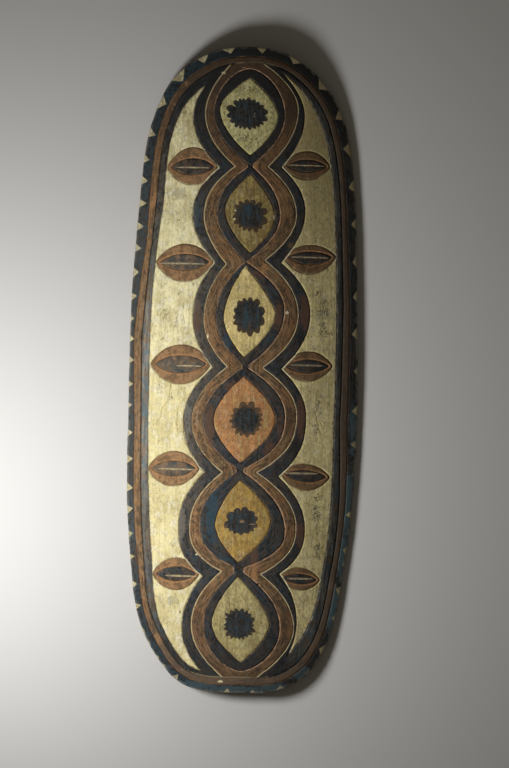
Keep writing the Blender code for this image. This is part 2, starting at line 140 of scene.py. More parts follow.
def smoothLoop(knots, steps):        # the closed curve of even bend through the knots
    knots = np.array(knots)
    count = len(knots)
    span = np.linalg.norm(np.roll(knots, -1, 0) - knots, axis=1)
    system, right = np.zeros((count, count)), np.zeros((count, 2))
    for i in range(count):
        before, after = i - 1, (i + 1) % count
        system[i, before] = 1 / span[before]
        system[i, i] = 2 / span[before] + 2 / span[i]
        system[i, after] = 1 / span[i]
        coming = (knots[i] - knots[before]) / span[before] ** 2
        right[i] = 3 * (coming + (knots[after] - knots[i]) / span[i] ** 2)
    slopes = np.linalg.solve(system, right)
    t = np.linspace(0, 1, steps, endpoint=False)[:, None]
    loop = []
    for i in range(count):
        after = (i + 1) % count
        rise = 3 * t**2 - 2 * t**3
        bow = (1 - t) * slopes[i] * span[i] - t * slopes[after] * span[i]
        loop.append((1 - rise) * knots[i] + rise * knots[after] + t * (1 - t) * bow)
    return np.concatenate(loop)


def evenly(line, step):        # the line again, with points about one step apart
    along = np.concatenate(((0,), np.cumsum(np.linalg.norm(np.diff(line, axis=0), axis=1))))
    at = np.linspace(0, along[-1], max(round(along[-1] / step), 1) + 1)
    return np.column_stack([np.interp(at, along, line[:, axis]) for axis in (0, 1)])


def evenLoop(loop, step):
    return evenly(np.concatenate((loop, loop[:1])), step)[:-1]


def joined(lines):
    return np.concatenate([lines[0]] + [line[1:] for line in lines[1:]])


def divided(line, isLoop, step):        # more points on the straight sides, corners kept
    ends = np.concatenate((line, line[:1])) if isLoop else line
    whole = joined([evenly(ends[i:i + 2], step) for i in range(len(ends) - 1)])
    return whole[:-1] if isLoop else whole


def normalsOf(line, isLoop):        # unit normals to the left of travel
    if isLoop:
        before, after = line - np.roll(line, 1, 0), np.roll(line, -1, 0) - line
    else:
        steps = np.diff(line, axis=0)
        before, after = np.concatenate((steps[:1], steps)), np.concatenate((steps, steps[-1:]))
    before, after = (step / np.linalg.norm(step, axis=1)[:, None] for step in (before, after))
    turned = before + after
    turned = turned / np.maximum(np.linalg.norm(turned, axis=1), meshing["nudge"])[:, None]
    return np.column_stack((-turned[:, 1], turned[:, 0]))


def angleOf(points):        # round the board, in degrees, from the middle of its right side
    return np.degrees(np.arctan2(points[:, 1] / length, points[:, 0] / width)) % 360


def bandEdges(outline):        # the three border lines
    inwards, angles, table = normalsOf(outline, True), angleOf(outline), np.array(border["places"])
    depth, edges = np.zeros(len(outline)), []
    for column, name in enumerate(("rim", "brown", "dark"), 1):
        depth = depth + border[name] * np.interp(angles, table[:, 0], table[:, column], period=360)
        edges.append(outline + inwards * depth[:, None])
    return edges


def stretchBetween(loop, start, end):        # from one angle to another, over the top
    turn = (angleOf(loop) - start) % 360
    order = np.argsort(turn)
    loop, turn = loop[order], turn[order]
    reach = (end - start) % 360
    at = np.concatenate(((0,), turn[(turn > 0) & (turn < reach)], (reach,)))
    return np.column_stack([np.interp(at, turn, loop[:, axis], period=360) for axis in (0, 1)])


# The chain of lenses down the middle. A waist gives the crossing of the inner lines, for each side
# the cusps of the brown band and of the dark band, and the radius in millimetres of the dark core
# where the inner bands meet. A cell gives the tips of its lens, how strongly the pale line outside the
# brown band is painted on the left and on the right, and for each side the widest places of lens,
# inner line, brown band and dark band, and how full the lens and the bands are above and below
chain = dict(
    arch=0.6,               # under 1, the inner line's first and last ends are round, not pointed
    runOut=0.06,            # how far the bands' paint runs on past the border
    paleFade=0.022,         # the pale line is whole at a waist and weaker this far from it
    waists=[
        dict(crossing=(-2, 466), left=((-116, 459), (-187, 445)), right=((91, 466), (144, 461))),
        dict(crossing=(12, 316), left=((-54, 314), (-119, 312)), right=((86, 315), (145, 315)), core=5.5),
        dict(crossing=(0, 167), left=((-84, 163), (-131, 165)), right=((83, 170), (155, 167)), core=2.5),
        dict(crossing=(11, 5), left=((-68, 4), (-129, 3)), right=((83, 4), (166, 3)), core=7.0),
        dict(crossing=(-2, -155), left=((-79, -159), (-157, -159)), right=((69, -158), (164, -163)), core=8),
        dict(crossing=(2, -308), left=((-73, -312), (-151, -320)), right=((96, -315), (179, -314)), core=11),
        dict(crossing=(19, -466), left=((-84, -468), (-158, -465)), right=((131, -464), (213, -450))),
    ],
    cells=[
        dict(tips=((2, 452), (9, 332)), pale=(0.75, 0.75),
             left=((-126, 403), (-152, 398), (-190, 396), (-241, 392), (1.7, 1.8), (1.9, 2.0)),
             right=((127, 393), (155, 395), (213, 403), (243, 393), (1.7, 1.7), (1.9, 2.0))),
        dict(tips=((15, 303), (19, 181)), pale=(1.0, 0.85),
             left=((-94, 247), (-129, 238), (-185, 235), (-234, 235), (1.7, 1.7), (2.4, 1.7)),
             right=((124, 237), (145, 236), (215, 238), (255, 243), (1.7, 1.7), (2.2, 1.8))),
        dict(tips=((0, 161), (2, 20)), pale=(0.5, 1.0),
             left=((-88, 80), (-123, 81), (-175, 79), (-222, 84), (1.7, 1.7), (2.1, 2.1)),
             right=((137, 89), (174, 91), (233, 86), (287, 88), (1.3, 1.7), (2.1, 2.1))),
        dict(tips=((6, -10), (-4, -143)), pale=(0.3, 1.0),
             left=((-122, -79), (-168, -79), (-217, -81), (-253, -81), (1.8, 1.7), (2.1, 2.1)),
             right=((148, -76), (188, -72), (237, -70), (280, -73), (1.7, 1.7), (2.1, 2.6))),
        dict(tips=((-1, -170), (0, -298)), pale=(0.6, 0.95),
             left=((-104, -240), (-171, -236), (-216, -242), (-263, -242), (1.7, 1.7), (2.1, 2.8)),
             right=((138, -233), (199, -249), (246, -243), (286, -246), (1.7, 1.7), (2.1, 2.5))),
        dict(tips=((0, -320), (22, -453)), pale=(0.7, 0.9),
             left=((-109, -393), (-145, -393), (-199, -395), (-239, -400), (1.7, 1.7), (2.1, 2.0)),
             right=((143, -393), (187, -400), (246, -400), (260, -391), (1.5, 1.6), (2.1, 1.9))),
    ],
)


def bulge(start, swell, full, roundEnd):        # from a tip or a waist, out to the widest place
    share = np.sin(np.linspace(math.pi / 2, 0, meshing["bulgeSteps"]))
    along = swell[1] + (start[1] - swell[1]) * share
    across = start[0] + (swell[0] - start[0]) * (1 - share**full) ** roundEnd
    return np.column_stack((across, along))


def swelling(upperEnd, swell, lowerEnd, full, ends=(1.0, 1.0)):        # out and back in again
    upper, lower = bulge(upperEnd, swell, full[0], ends[0]), bulge(lowerEnd, swell, full[1], ends[1])
    return np.concatenate((upper, lower[-2::-1]))


def innerLine(index, side):
    cell, last = chain["cells"][index][side], len(chain["cells"]) - 1
    ends = [chain["arch"] if index == end else 1.0 for end in (0, last)]
    upper, lower = (place(chain["waists"][i]["crossing"]) for i in (index, index + 1))
    return swelling(upper, place(cell[1]), lower, cell[5], ends)


def bandLine(side, which, fields):        # which: 0 the brown band's outer line, 1 the dark band's
    ends = [place(waist[side][which]) for waist in chain["waists"]]
    if which == 1:
        ends[0], ends[-1] = (stretchBetween(fields, at, at + 1)[0] for at in border["corners"][side])
    stretches = []
    for index, cell in enumerate(chain["cells"]):
        swell = place(cell[side][2 + which])
        stretches.append(swelling(ends[index], swell, ends[index + 1], cell[side][5]))
    return joined(stretches)


def closed(first, second):        # a loop down the first line and back along the second
    return np.concatenate((first, second[-2:0:-1]))


def lensLoop(cell):        # anticlockwise
    upper, lower = (place(tip) for tip in cell["tips"])
    sides = (cell["left"], cell["right"])
    return closed(*(swelling(upper, place(side[0]), lower, side[4]) for side in sides))


# The eyes: outer and inner points, heights of the upper and lower edges, ends and height of the slit
eyes = dict(
    full=2.1,
    blunt=0.85,
    pupilReach=0.84,
    pupilHeight=0.44,
    slitThick=0.0020,       # half the thickness of the pale slit in its middle
    slitThin=0.0006,
    places=[
        ((-351, 311), (-128, 313), 343, 285, (-311, -168, 311)),
        ((-390, 164), (-138, 166), 193, 135, (-371, -176, 162)),
        ((-404, 6), (-138, 8), 37, -24, (-289, -184, 4)),
        ((-405, -156), (-178, -154), -128, -182, (-360, -199, -156)),
        ((-373, -319), (-168, -317), -293, -343, (-317, -181, -321)),
        ((360, 318), (156, 317), 341, 297, (333, 173, 318)),
        ((395, 178), (166, 176), 196, 151, (357, 197, 176)),
        ((391, 9), (173, 7), 31, -15, (347, 201, 9)),
        ((390, -163), (179, -159), -143, -184, (338, 190, -158)),
        ((357, -323), (183, -320), -304, -339, (324, 213, -321)),
    ],
)


def leafLoop(eye, reach, height):        # anticlockwise
    ends = sorted((tuple(place(eye[0])), tuple(place(eye[1]))))
    first, last = np.array(ends[0]), np.array(ends[1])
    share = np.sin(np.linspace(-math.pi / 2, math.pi / 2, meshing["leafSteps"]))
    spine = (first + last) / 2 + (last - first) / 2 * share[:, None] * reach
    full = (1 - np.abs(share) ** eyes["full"]) ** eyes["blunt"] * height
    level = (first[1] + last[1]) / 2
    flat = np.zeros(len(full))
    return closed(*(spine + np.column_stack((flat, (edge * length / 1000 - level) * full))
                    for edge in (eye[3], eye[2])))


def slitLine(eye):
    outer, inner, along = eye[4]
    return np.array((place((outer, along)), place((inner, along))))


# The rosette in each lens: its centre, its half sizes in metres, the radius past which its paint
# turns brown and how faint it is there. Each tooth gives the angle that it points at, its reach and
# the radius where the gap after it starts. Radii and reaches are shares of the half sizes
rosettes = [
    dict(centre=(-8, 397), half=(0.0460, 0.0365), brown=0.90, faint=0.0, teeth=[
        (8, 1.00, 0.86), (34, 0.92, 0.80), (52, 0.90, 0.78), (67, 0.92, 0.80), (88, 0.95, 0.78),
        (104, 0.94, 0.80), (113, 0.96, 0.82), (128, 0.98, 0.66), (161, 1.05, 0.84), (191, 0.98, 0.80),
        (215, 0.96, 0.84), (238, 1.01, 0.80), (250, 1.01, 0.78), (263, 0.96, 0.84), (279, 1.02, 0.80),
        (294, 1.00, 0.82), (307, 1.02, 0.86), (320, 1.02, 0.86), (337, 1.05, 0.88)]),
    dict(centre=(16, 239), half=(0.0375, 0.0358), brown=0.68, faint=0.0, teeth=[
        (22, 1.05, 0.74), (53, 1.02, 0.60), (80, 0.98, 0.74), (106, 1.01, 0.84), (129, 1.07, 0.86),
        (146, 1.08, 0.84), (164, 1.00, 0.82), (186, 1.03, 0.84), (208, 1.06, 0.84), (230, 1.00, 0.80),
        (248, 1.02, 0.80), (268, 0.98, 0.80), (293, 1.10, 0.92), (310, 1.04, 0.94), (337, 1.08, 0.74)]),
    dict(centre=(21, 85), half=(0.0345, 0.0375), brown=0.84, faint=0.0, teeth=[
        (21, 1.04, 0.76), (60, 1.10, 0.84), (87, 1.05, 0.82), (112, 1.05, 0.96), (130, 1.08, 0.94),
        (164, 1.02, 0.88), (190, 1.02, 0.92), (208, 1.10, 0.98), (237, 1.18, 1.06), (251, 1.10, 0.98),
        (274, 1.25, 1.00), (302, 1.20, 0.98), (334, 1.09, 0.82)]),
    dict(centre=(21, -77), half=(0.0368, 0.0390), brown=0.69, faint=0.06, teeth=[
        (19, 1.00, 0.80), (39, 1.04, 0.82), (72, 1.08, 0.76), (106, 1.05, 0.78), (145, 1.00, 0.80),
        (167, 0.96, 0.82), (185, 1.02, 0.82), (207, 0.98, 0.80), (231, 1.02, 0.82), (248, 0.96, 0.82),
        (275, 0.98, 0.84), (301, 0.97, 0.82), (323, 0.95, 0.80), (343, 0.95, 0.80), (362, 0.95, 0.80)]),
    dict(centre=(7, -233), half=(0.0364, 0.0308), brown=0.88, faint=0.05, teeth=[
        (13, 1.04, 0.92), (36, 1.03, 0.86), (76, 1.03, 0.68), (106, 0.93, 0.72), (149, 0.97, 0.76),
        (208, 1.10, 0.92), (228, 1.04, 0.88), (246, 1.02, 0.88), (272, 1.01, 0.88), (298, 1.02, 0.92),
        (318, 1.06, 0.96), (336, 1.08, 0.86)]),
    dict(centre=(11, -393), half=(0.0349, 0.0345), brown=0.86, faint=0.0, teeth=[
        (21, 1.03, 0.84), (44, 0.97, 0.82), (60, 1.00, 0.78), (79, 1.01, 0.76), (106, 1.01, 0.82),
        (123, 1.04, 0.82), (146, 1.12, 0.84), (159, 0.98, 0.82), (186, 0.95, 0.86), (199, 1.04, 0.82),
        (224, 1.12, 0.94), (242, 1.07, 0.88), (256, 0.98, 0.88), (272, 1.01, 0.88), (285, 1.01, 0.86),
        (303, 0.97, 0.88), (319, 1.04, 0.92), (335, 1.12, 0.88), (355, 0.92, 0.86)]),
]

# The form of a tooth. In a rosette its sides are given as shares of the spread and of the reach
tooth = dict(
    spread=0.38,            # how far it is full, as a share of the way to its neighbours
    sides=((-1.0, 0.88), (-0.5, 0.98), (0.0, 1.0), (0.5, 0.97), (1.0, 0.87)),
    inner=(0.88, 0.70),     # points of the mesh inside it, and past the gap after it
    pastGap=(0.10, 0.24),
    over=0.004,             # how far the foot of a rim tooth runs on over the edge
    clear=0.0006,           # between the rounded edge and the lines of the mesh
    lean=0.18,              # how far its tip may lean, as a share of its width
)


def onRosette(rosette, angle, radius):        # a point in metres, from an angle in degrees and a share
    turn = math.radians(angle)
    return place(rosette["centre"]) + np.array((math.cos(turn), math.sin(turn))) * rosette["half"] * radius


def rosetteShape(rosette):        # the toothed outline, anticlockwise, and points in its teeth and gaps
    teeth, loop, loose = rosette["teeth"], [], []
    for i, (at, reach, gap) in enumerate(teeth):
        before = teeth[i - 1][0] - (0 if i else 360)
        after = teeth[(i + 1) % len(teeth)][0] + (0 if i + 1 < len(teeth) else 360)
        middle = (at + after) / 2
        for turn, share in tooth["sides"]:
            away = at - before if turn < 0 else after - at
            loop.append(onRosette(rosette, at + tooth["spread"] * away * turn, reach * share))
        loop.append(onRosette(rosette, middle, gap))
        loose += [onRosette(rosette, at, reach * share) for share in tooth["inner"]]
        loose += [onRosette(rosette, middle, gap + step) for step in tooth["pastGap"]]
    return np.array(loop), loose


def nearestOn(places, lines):        # metres, positive to the left of travel or inside a loop, and where
    points, before, after = [], [], []
    for line, isLoop in lines:
        first, count = len(points), len(line)
        points.extend(line)
        for i in range(count):
            before.append(first + ((i - 1) % count if isLoop else max(i - 1, 0)))
            after.append(first + ((i + 1) % count if isLoop else min(i + 1, count - 1)))
    points = np.array(points)
    tree = kdtree.KDTree(len(points))
    for i, (x, y) in enumerate(points):
        tree.insert((x, y, 0), i)
    tree.balance()
    nearest = np.array([tree.find((x, y, 0))[1] for x, y in places])

    def toStretch(start, end):
        step = end - start
        size = np.maximum((step**2).sum(1), meshing["nudge"] ** 2)
        share = np.clip(((places - start) * step).sum(1) / size, 0, 1)
        away = places - start - share[:, None] * step
        return away, np.column_stack((-step[:, 1], step[:, 0])) / np.sqrt(size)[:, None]

    awayIn, normalIn = toStretch(points[np.array(before)[nearest]], points[nearest])
    awayOut, normalOut = toStretch(points[nearest], points[np.array(after)[nearest]])
    gapIn, gapOut = np.linalg.norm(awayIn, axis=1), np.linalg.norm(awayOut, axis=1)
    sideIn = (awayIn * normalIn).sum(1) * (gapIn <= gapOut + meshing["nudge"])
    sideOut = (awayOut * normalOut).sum(1) * (gapOut <= gapIn + meshing["nudge"])
    foot = places - np.where((gapIn <= gapOut)[:, None], awayIn, awayOut)
    return np.minimum(gapIn, gapOut) * np.where(sideIn + sideOut < 0, -1, 1), nearest, foot


def signedDistance(places, lines):
    return nearestOn(places, lines)[0]


def depthIn(places, loop):        # metres inside one loop
    return signedDistance(places, [(loop, True)])


print("shield: design lines")
knots = [place(mark) for mark in board["outline"]]
outline = evenLoop(smoothLoop(knots, meshing["outlineSteps"]), meshing["fine"])
outlineInwards = normalsOf(outline, True)
rimLine, brownLine, fieldLine = bandEdges(outline)
fieldStretches = [
    stretchBetween(fieldLine, *border["corners"]["left"]),
    stretchBetween(fieldLine, border["corners"]["right"][1], border["corners"]["right"][0]),
]
sides = ("left", "right")
innerLines = {side: [innerLine(i, side) for i in range(len(chain["cells"]))] for side in sides}
brownLines = {side: bandLine(side, 0, fieldLine) for side in sides}
darkLines = {side: bandLine(side, 1, fieldLine) for side in sides}
lenses = [lensLoop(cell) for cell in chain["cells"]]
leaves = [leafLoop(eye, 1, 1) for eye in eyes["places"]]
pupils = [leafLoop(eye, eyes["pupilReach"], eyes["pupilHeight"]) for eye in eyes["places"]]
slits = [slitLine(eye) for eye in eyes["places"]]
rosetteShapes = [rosetteShape(rosette) for rosette in rosettes]


def noiseAt(places, scales, shift):        # smooth noise between -1 and 1 at each place
    return np.array([noise.noise(Vector((x * scales[0], y * scales[1], shift))) for x, y in places])


# Holes and cracks in the wood, as marks: a hole's centre and radius, a crack from end to end
wear = dict(
    holes=[((-246, -377), 0.0026), ((88, -331), 0.0026)],
    holeDepth=0.0060,
    crackWander=0.0008,
    cracks=[
        ((-58, 19), (-58, 8), (-56, 0)),
        ((-72, -130), (-74, -145), (-74, -158)),
        ((68, 18), (68, 6), (67, -6)),
        ((75, -118), (75, -130), (74, -143)),
        ((319, -61), (327, -72), (333, -80), (345, -96)),
        ((333, -80), (340, -76), (349, -82)),
        ((-312, -26), (-319, -49), (-348, -62), (-354, -77), (-386, -89)),
        ((-276, -60), (-281, -78), (-278, -96)),
        ((-262, 108), (-266, 88), (-258, 70)),
    ],
)


def crackLine(marks):        # a crack wanders a little along the grain
    line = evenly(np.array([place(mark) for mark in marks]), meshing["line"] / 2)
    wander = noiseAt(line, (40, 160), 3) * wear["crackWander"]
    return line + np.column_stack((wander, np.zeros(len(line))))


# The painted teeth on the rim, from the top to the left and round: the mark of each on the edge, its
# width there and its reach inwards, in millimetres
rimTeeth = [
    (-99, 497, 30, 12.5), (-206, 485, 28, 16.5), (-311, 456, 38, 20), (-388, 413, 33, 16),
    (-433, 366, 21, 15), (-451, 325, 17, 12.5), (-461, 290, 17.5, 15), (-470, 254, 18.5, 15),
    (-474, 218, 19.5, 15), (-480, 186, 17.5, 16), (-486, 146, 20.5, 12.5), (-489, 109, 17, 12),
    (-492, 75, 13, 9), (-494, 46, 15, 9), (-495, 12, 15, 11), (-496, -26, 13, 10), (-497, -59, 11, 9),
    (-497, -103, 16, 11), (-496, -143, 18.5, 13), (-494, -185, 20, 14), (-490, -221, 18.5, 12.5),
    (-485, -259, 15, 11), (-478, -295, 13, 9), (-463, -336, 15, 11), (-443, -370, 14, 13),
    (-409, -408, 24, 3), (-389, -426, 15, 3), (-346, -449, 12, 4), (-317, -464, 19, 4),
    (-266, -480, 14, 12), (-38, -497, 13, 12), (78, -497, 14, 8), (193, -490, 20, 10), (369, -428, 28, 11),
    (419, -382, 15, 7), (444, -340, 21, 10), (463, -278, 20, 8), (477, -220, 17, 12), (489, -112, 18, 13),
    (497, -58, 24, 12), (497, 1, 20, 9), (494, 61, 30, 12), (486, 120, 28, 9.5), (479, 174, 28, 9.5),
    (474, 232, 26, 11), (466, 291, 29, 15), (447, 344, 37, 16), (401, 400, 28, 17), (325, 447, 35, 16),
    (196, 484, 32, 13), (45, 498, 21.5, 13.5),
]


def toothCorners(rimTooth):        # two corners over the edge and a tip inwards, anticlockwise
    across, along, wide, reach = rimTooth
    wide, reach, over, count = wide / 1000, reach / 1000, tooth["over"], len(outline)
    index = int(np.linalg.norm(outline - place((across, along)), axis=1).argmin())
    half = round(wide / 2 * (1 + over / reach) / meshing["fine"])
    lean = round(wide * tooth["lean"] * math.sin(across * 0.7 + along * 0.3) / meshing["fine"])
    first, last, tip = (index - half) % count, (index + half) % count, (index + lean) % count
    return np.array((
        outline[first] - outlineInwards[first] * over,
        outline[last] - outlineInwards[last] * over,
        outline[tip] + outlineInwards[tip] * reach,
    ))


def paintLines():        # the sides of the painted teeth, which the mesh follows without a cut
    lines, loose = [], []
    for loop, points in rosetteShapes:
        lines.append((divided(loop, True, meshing["line"]), True))
        loose += points
    for rimTooth in rimTeeth:
        first, last, tip = toothCorners(rimTooth)
        reach = rimTooth[3] / 1000
        if reach > board["frontRound"] * 2:
            inset = (board["frontRound"] + tooth["clear"] + tooth["over"]) / (reach + tooth["over"])
            side = np.array((last + (tip - last) * inset, tip, first + (tip - first) * inset))
            lines.append((divided(side, False, meshing["line"]), False))
            loose.append((first + last) / 2 * 0.45 + tip * 0.55)
    return lines, loose


def allCuts():        # every cut: its points, whether it is closed, half its width, its depth
    whole = [(line, True) for line in (rimLine, brownLine, *lenses, *leaves, *pupils)]
    whole += [(line, False) for line in (*fieldStretches, *brownLines.values(), *darkLines.values())]
    whole += [(line, False) for side in innerLines.values() for line in side]
    cracks = [crackLine(marks) for marks in wear["cracks"]]
    made = [(line, isLoop, cuts["width"] / 2, cuts["depth"]) for line, isLoop in whole]
    made += [(line, False, cuts["slitWidth"] / 2, cuts["depth"]) for line in slits]
    made += [(line, False, cuts["crackWidth"] / 2, cuts["crackDepth"]) for line in cracks]
    spaced = []
    for line, isLoop, half, depth in made:
        step = meshing["line"] if half > cuts["crackWidth"] else meshing["line"] / 2
        spaced.append((evenLoop(line, step) if isLoop else evenly(line, step), isLoop, half, depth))
    return spaced


cutLines = allCuts()
cutPaths = [(line, isLoop) for line, isLoop, _, _ in cutLines]
cutHalves = np.concatenate([np.full(len(line), half) for line, _, half, _ in cutLines])
cutDepths = np.concatenate([np.full(len(line), depth) for line, _, _, depth in cutLines])
toothLines, toothPoints = paintLines()


def carved(places):        # depth of the cuts at each place, and how near it is to the floor of one
    away, nearest, _ = nearestOn(places, cutPaths)
    share = np.abs(away) / cutHalves[nearest]
    handWork = 0.85 + cuts["uneven"] * noiseAt(places, (55, 55), 0)
    floor = np.clip(1 - share, 0, 1) * cuts["floor"]
    shoulder = np.clip(1.5 - share, 0, 0.5) ** 2 * cuts["shoulder"]
    depth = cutDepths[nearest] * handWork * (floor + shoulder)
    for mark, radius in wear["holes"]:
        off = np.linalg.norm(places - place(mark), axis=1) / radius
        depth = np.maximum(depth, wear["holeDepth"] * np.clip(1.25 - off, 0, 1) ** 0.5)
    return depth, np.clip(1.25 - share, 0, 1)


def fall(places):        # of the cambered face from its middle
    across, along = 2 * places[:, 0] / width, 2 * places[:, 1] / length
    return board["crown"] * across**2 + board["endDrop"] * along**2


def thickness(places):
    across = np.clip(1 - (2 * places[:, 0] / width) ** 2, 0, 1)
    along = np.clip(1 - (2 * places[:, 1] / length) ** 4, 0, 1)
    return board["edgeThick"] + (board["thick"] - board["edgeThick"]) * across * along


def hewn(places):        # the slight unevenness that the adze left under the paint
    (broad, broadDepth), (fine, fineDepth) = relief["hewn"], relief["hewnFine"]
    return noiseAt(places, broad, 7) * broadDepth + noiseAt(places, fine, 2) * fineDepth


def adzed(places):        # overlapping shallow scoops on the back, longer along the grain
    (across, along), (broad, depth) = relief["scoops"], relief["back"]
    scoops = [min(noise.voronoi(Vector((x * across, y * along, 5)))[0][0], 0.8) for x, y in places]
    return relief["scoopDepth"] * (np.array(scoops) - 0.35) + noiseAt(places, broad, 1) * depth


def backLevel(places):
    return faceTop - fall(places) - thickness(places)


def gridInside(ring, step, clear):        # staggered rows of points inside a ring
    rows = np.arange(-length / 2, length / 2, step * meshing["rowGap"])
    columns = np.arange(-width / 2, width / 2, step)
    grid = np.array([(x + (i % 2) * step / 2, y) for i, y in enumerate(rows) for x in columns])
    shift = np.column_stack((noiseAt(grid, (300, 300), 1), noiseAt(grid, (300, 300), 9)))
    grid = grid + shift * step * meshing["stray"]
    return grid[depthIn(grid, ring) > clear]


def triangulated(ring, lines, loose):        # triangles inside the ring, with edges along the lines
    points, edges = list(ring), [(i, (i + 1) % len(ring)) for i in range(len(ring))]
    for line, isLoop in lines:
        first, count = len(points), len(line)
        points.extend(line)
        edges.extend((first + i, first + (i + 1) % count) for i in range(count if isLoop else count - 1))
    points.extend(loose)
    flat = [Vector((float(x), float(y))) for x, y in points]
    face = [list(range(len(ring)))]
    spread, _, faces, origins, _, covers = delaunay_2d_cdt(flat, edges, face, 1, meshing["merge"], True)
    made = {}
    for index, sources in enumerate(origins):
        for source in sources:
            made[source] = index
    kept = [face for face, cover in zip(faces, covers) if cover]
    return np.array([tuple(point) for point in spread]), kept, made


def besideCuts():        # rows of points on both banks of every cut
    rows = []
    for line, isLoop, half, _ in cutLines:
        sideways = normalsOf(line, isLoop)
        for offset in meshing["offsets"]:
            for turn in (1, -1):
                row = line + sideways * (turn * offset * half)
                rows.append(np.column_stack((row, np.full(len(row), offset * half))))
    return np.concatenate(rows)


def facePoints():        # rows beside the cuts, rings in the holes and the spread between them
    besides = besideCuts()
    besides = besides[np.abs(signedDistance(besides[:, :2], cutPaths)) > besides[:, 2] * 0.9][:, :2]
    grid = gridInside(outline, meshing["face"], board["frontRound"] + meshing["face"] * meshing["fromEdge"])
    away, nearest, _ = nearestOn(grid, cutPaths)
    widest = cutHalves[nearest] * meshing["offsets"][-1]
    grid = grid[np.abs(away) > widest + meshing["face"] * meshing["apart"]]
    points = np.concatenate((besides, grid))
    points = points[np.abs(signedDistance(points, toothLines)) > meshing["clear"]]
    holes = []
    for mark, radius in wear["holes"]:
        for share in meshing["holeRings"]:
            turns = np.linspace(0, 2 * math.pi, meshing["holeSides"], endpoint=False) + share
            holes.append(place(mark) + share * radius * np.column_stack((np.cos(turns), np.sin(turns))))
    return np.concatenate([points, np.array(toothPoints)] + holes)


# The grip on the back, one with the board
grip = dict(
    width=0.036,
    thick=0.022,
    span=0.150,
    bend=0.005,
    slim=0.07,              # how much narrower the bar is in its middle
    gap=0.038,
    footWidth=0.052,
    footThick=0.034,
    round=0.62,             # under 1, the section is squarer than an ellipse
    sides=44,
    footSteps=7,
    bendSteps=6,
    barSteps=20,
)


def gripSections():        # (along, up, width, thickness) from one foot over the bar to the other
    back = faceTop - board["thick"]
    bar = back - grip["gap"] - grip["thick"] / 2
    half, bend = grip["span"] / 2, grip["bend"] + grip["thick"] / 2
    path = []
    for step in range(grip["footSteps"] + 1):
        share = 1 - step / grip["footSteps"]
        wide = grip["width"] + (grip["footWidth"] - grip["width"]) * share**2
        thick = grip["thick"] + (grip["footThick"] - grip["thick"]) * share**2
        path.append((half, bar + bend + (back - bar - bend) * share, wide, thick))
    for turn in np.linspace(0, math.pi / 2, grip["bendSteps"])[1:]:
        along, up = half - bend + bend * math.cos(turn), bar + bend - bend * math.sin(turn)
        path.append((along, up, grip["width"], grip["thick"]))
    straight, middle = half - bend, []
    for along in np.linspace(straight, -straight, grip["barSteps"] + 1)[1:-1]:
        slimming = 1 - grip["slim"] * (1 - (along / straight) ** 2)
        middle.append((along, bar, grip["width"] * slimming, grip["thick"]))
    return path + middle + [(-along, up, wide, thick) for along, up, wide, thick in reversed(path)]


def gripRings():
    path = np.array(gripSections())
    steps = np.gradient(path[:, :2], axis=0)
    steps = steps / np.linalg.norm(steps, axis=1)[:, None]
    turns = np.linspace(0, 2 * math.pi, grip["sides"], endpoint=False)
    across = np.sign(np.cos(turns)) * np.abs(np.cos(turns)) ** grip["round"]
    through = np.sign(np.sin(turns)) * np.abs(np.sin(turns)) ** grip["round"]
    rings = []
    for (along, up, wide, thick), (stepAlong, stepUp) in zip(path, steps):
        n = through * thick / 2
        rings.append(np.column_stack((across * wide / 2, along - n * stepUp, up + n * stepAlong)))
    for ring in (rings[0], rings[-1]):
        ring[:, 2] = backLevel(ring[:, :2]) + adzed(ring[:, :2])
    return rings


class Skin:        # the points and faces of the shield, and how far round to its back each point is
    def __init__(self):
        self.verts, self.faces, self.side = [], [], []

    def addPoints(self, points, levels, share):
        first = len(self.verts)
        self.verts.extend((x, y, z) for (x, y), z in zip(points, levels))
        self.side.extend([share] * len(points))
        return first

    def addRing(self, points, levels, share):
        first = self.addPoints(points, levels, share)
        return list(range(first, first + len(points)))

    # A face or a back: gives the point that each one of the ring and the lines became
    def addSurface(self, ring, lines, loose, levelOf, share, upwards, holes=()):
        spread, triangles, made = triangulated(ring, lines, loose)
        first = self.addPoints(spread, levelOf(spread), share)
        centres = np.array([spread[face].mean(0) for face in triangles])
        keep = np.ones(len(triangles), bool)
        for hole in holes:
            keep &= depthIn(centres, hole) < 0
        for face, kept in zip(triangles, keep):
            if kept:
                self.faces.append([first + i for i in (face if upwards else face[::-1])])
        return {source: first + index for source, index in made.items()}

    def bridge(self, rings):        # walls from each ring to the next
        for upper, lower in zip(rings, rings[1:]):
            for i in range(len(upper)):
                k = (i + 1) % len(upper)
                self.faces.append((upper[k], upper[i], lower[i], lower[k]))


def faceLevel(places):
    return faceTop - fall(places) - carved(places)[0] + hewn(places)


def boardEdge():        # a ragged ring, and the way inwards from each of its points
    edge = evenLoop(outline, meshing["line"])
    inwards = normalsOf(edge, True)
    broad, fine = relief["edge"]
    ragged = noiseAt(edge, (broad, broad), 4) + 0.5 * noiseAt(edge, (fine, fine), 6)
    return edge + inwards * (ragged * board["ragged"])[:, None], inwards


